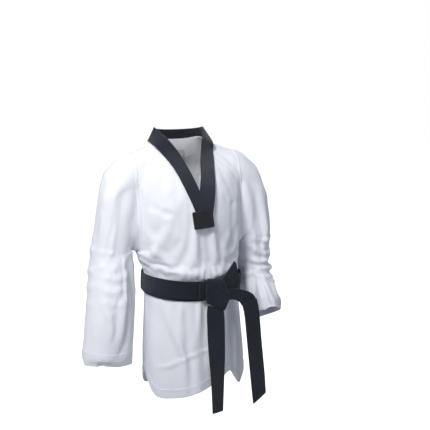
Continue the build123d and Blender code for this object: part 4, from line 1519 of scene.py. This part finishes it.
# The arch leaves the knot sideways and turns down
LEFT_ARCH = [
    (.0560, -.1580, .2560, .0600, -.1580, .2960, 0, -1, 0),
    (.0694, -.1590, .2690, .0760, -.1600, .3000, .02, -1, .02),
    (.0850, -.1590, .2680, .0980, -.1600, .2965, .05, -1, .05),
    (.0960, -.1585, .2630, .1220, -.1590, .2885, .08, -1, .06),
    (.1020, -.1580, .2570, .1400, -.1570, .2770, .10, -1, .05),
    (.1060, -.1580, .2500, .1510, -.1555, .2615, .12, -1, .04)]
LEFT_TAIL = [
    (.1058, -.1602, .2535, .1502, -.1577, .2645, .12, -1, .05),
    (.1110, -.1614, .2330, .1560, -.1582, .2400, .12, -1, .04),
    (.1140, -.1642, .2050, .1598, -.1592, .2080, .12, -1, .03),
    (.1175, -.1680, .1550, .1640, -.1612, .1540, .14, -1, .02),
    (.1215, -.1715, .1030, .1680, -.1642, .1040, .16, -1, .02),
    (.1260, -.1750, .0480, .1715, -.1682, .0540, .16, -1, .02),
    (.1310, -.1775, -.0060, .1735, -.1712, .0110, .15, -1, .01),
    (.1330, -.1785, -.0230, .1740, -.1718, .0010, .15, -1, .01)]
TAIL_SPAN = ((.03, -.16, .25), (.03, -.16, .19))


def belt_tail(side, sections):
    """A hanging belt end, and the thicker sewn piece that finishes it."""
    name, body, count = side + "_tail", side + "_belt_tail", 120
    low_edge, high_edge, normals = strap_edges(sections, count)
    run = run_length((low_edge + high_edge) / 2)
    weight = smooth01((run - .004) / (.050 - .004))
    cut = int(np.searchsorted(run, run[-1] - .011))
    main, end = slice(0, cut + 1), slice(cut, count)
    crown = .0007
    mesh = Mesh()
    band(mesh, low_edge[main], high_edge[main], normals[main], weight=weight[main], crown=crown)
    mesh.blend(name, BELT_SET, "front_flap", body, TAIL_SPAN, name, name + "_core")
    mesh = Mesh()
    extra = .0004
    sunk = normals[end] * extra
    band(mesh, low_edge[end] - sunk, high_edge[end] - sunk, normals[end],
         thick=.0031 + 2 * extra, weight=weight[end], crown=crown)
    q = np.linspace(.06, .94, 20)[:, None]
    for share in (.25, .5, .75):
        i = cut + int((count - 1 - cut) * share)
        line = (low_edge[i] * (1 - q) + high_edge[i] * q
                + normals[i] * (.0033 + crown * 4 * q * (1 - q)))
        dashes(mesh, line, np.tile(normals[i], (20, 1)), weight[i], gap=1.0, high=.32)
    mesh.blend(name + "_end", BELT_SET, "front_flap", body, TAIL_SPAN)


def tail_arch():
    mesh = Mesh()
    band(mesh, *strap_edges(LEFT_ARCH, 60), crown=.0006)
    mesh.ride("left_tail_arch", BELT_SET)


belt_tail("right", RIGHT_TAIL)
tail_arch()
belt_tail("left", LEFT_TAIL)

# ---------------------------------------------------------------- stage, lights, camera
VIEW_YAW, VIEW_PITCH = math.radians(-22.57), math.radians(9.82)


def studio_floor():
    """A flat floor squared up to the camera; it glows only where the camera sees it."""
    floor_z, reach = -0.42, 14.0
    c, s = math.cos(VIEW_YAW), math.sin(VIEW_YAW)
    points = [(x * c - y * s, x * s + y * c, floor_z)
              for y in (-reach, 0.0, reach) for x in (-reach, reach)]
    made = mesh_object("studio_floor", points, [[0, 1, 3, 2], [2, 3, 5, 4]])
    for face in made.data.polygons:
        face.use_smooth = True
    material = bpy.data.materials.new("pale_floor")
    material.use_nodes = True
    tree = material.node_tree
    link = tree.links.new
    shader = tree.nodes["Principled BSDF"]
    noise = add_node(tree, "TexNoise", inputs={"Scale": 3.0})
    rough = .8
    roughness = add_node(tree, "MapRange", inputs={"To Min": rough - .04, "To Max": rough + .04})
    link(noise.outputs["Fac"], roughness.inputs["Value"])
    link(roughness.outputs["Result"], shader.inputs["Roughness"])
    shader.inputs["Emission Color"].default_value = (.97, .98, 1, 1)
    seen = add_node(tree, "LightPath").outputs["Is Camera Ray"]
    glow = add_node(tree, "Math", {"operation": "MULTIPLY"}, {1: .84})
    link(seen, glow.inputs[0])
    link(glow.outputs[0], shader.inputs["Emission Strength"])
    colour = add_node(tree, "Mix", {"data_type": "RGBA"},
                      {"A": (.55, .57, .60, 1), "B": (.93, .935, .94, 1)})
    link(seen, colour.inputs["Factor"])
    link(colour.outputs["Result"], shader.inputs["Base Color"])
    shader.inputs["Base Color"].default_value = (.93, .935, .94, 1)
    made.data.materials.append(material)
    return made


def area_light(name, place, target, size, power, colour):
    data = bpy.data.lights.new(name, "AREA")
    data.energy = power
    data.size = size
    data.color = colour
    made = bpy.data.objects.new(name, data)
    bpy.context.scene.collection.objects.link(made)
    made.location = place
    made.rotation_euler = (Vector(target) - Vector(place)).to_track_quat("-Z", "Y").to_euler()
    return made


def studio_world():
    """White where the camera sees it, a dim cool light for everything else."""
    world = bpy.data.worlds.new("studio")
    bpy.context.scene.world = world
    world.use_nodes = True
    tree = world.node_tree
    tree.nodes.clear()
    output = add_node(tree, "OutputWorld")
    ambient = add_node(tree, "Background", inputs={"Color": (.86, .90, 1, 1), "Strength": .36})
    backdrop = add_node(tree, "Background", inputs={"Color": (1, 1, 1, 1), "Strength": 1.0})
    mix = add_node(tree, "MixShader")
    path = add_node(tree, "LightPath")
    tree.links.new(path.outputs["Is Camera Ray"], mix.inputs[0])
    tree.links.new(ambient.outputs[0], mix.inputs[1])
    tree.links.new(backdrop.outputs[0], mix.inputs[2])
    tree.links.new(mix.outputs[0], output.inputs[0])


def studio_camera():
    data = bpy.data.cameras.new("camera")
    made = bpy.data.objects.new("camera", data)
    bpy.context.scene.collection.objects.link(made)
    data.sensor_width = 36.0
    data.lens = 61.4093023
    data.clip_end = 60
    backward = Vector((math.sin(VIEW_YAW) * math.cos(VIEW_PITCH),
                       -math.cos(VIEW_YAW) * math.cos(VIEW_PITCH), math.sin(VIEW_PITCH)))
    right = Vector((math.cos(VIEW_YAW), math.sin(VIEW_YAW), 0))
    aim, distance = Vector((0.0774, -0.045, 0.4772)), 2.0
    axes = (right, backward.cross(right), backward, aim + backward * distance)
    made.matrix_world = Matrix([[axis[i] for axis in axes] for i in range(3)] + [[0, 0, 0, 1]])
    bpy.context.scene.camera = made
    return made


floor = studio_floor()
lights = [
    area_light("key", place=(-1.05, -1.00, 1.85), target=(0, 0, .50), size=0.55, power=35,
               colour=(1, .99, .975)),
    area_light("fill", place=(1.9, -1.9, 1.0), target=(0, 0, .3), size=1.6, power=5.0,
               colour=(.86, .92, 1)),
    area_light("rim", place=(1.2, 1.6, 1.9), target=(0, 0, .4), size=1.0, power=12,
               colour=(.95, .97, 1)),
]
studio_world()
bpy.context.scene.view_settings.view_transform = "Standard"
studio_camera()
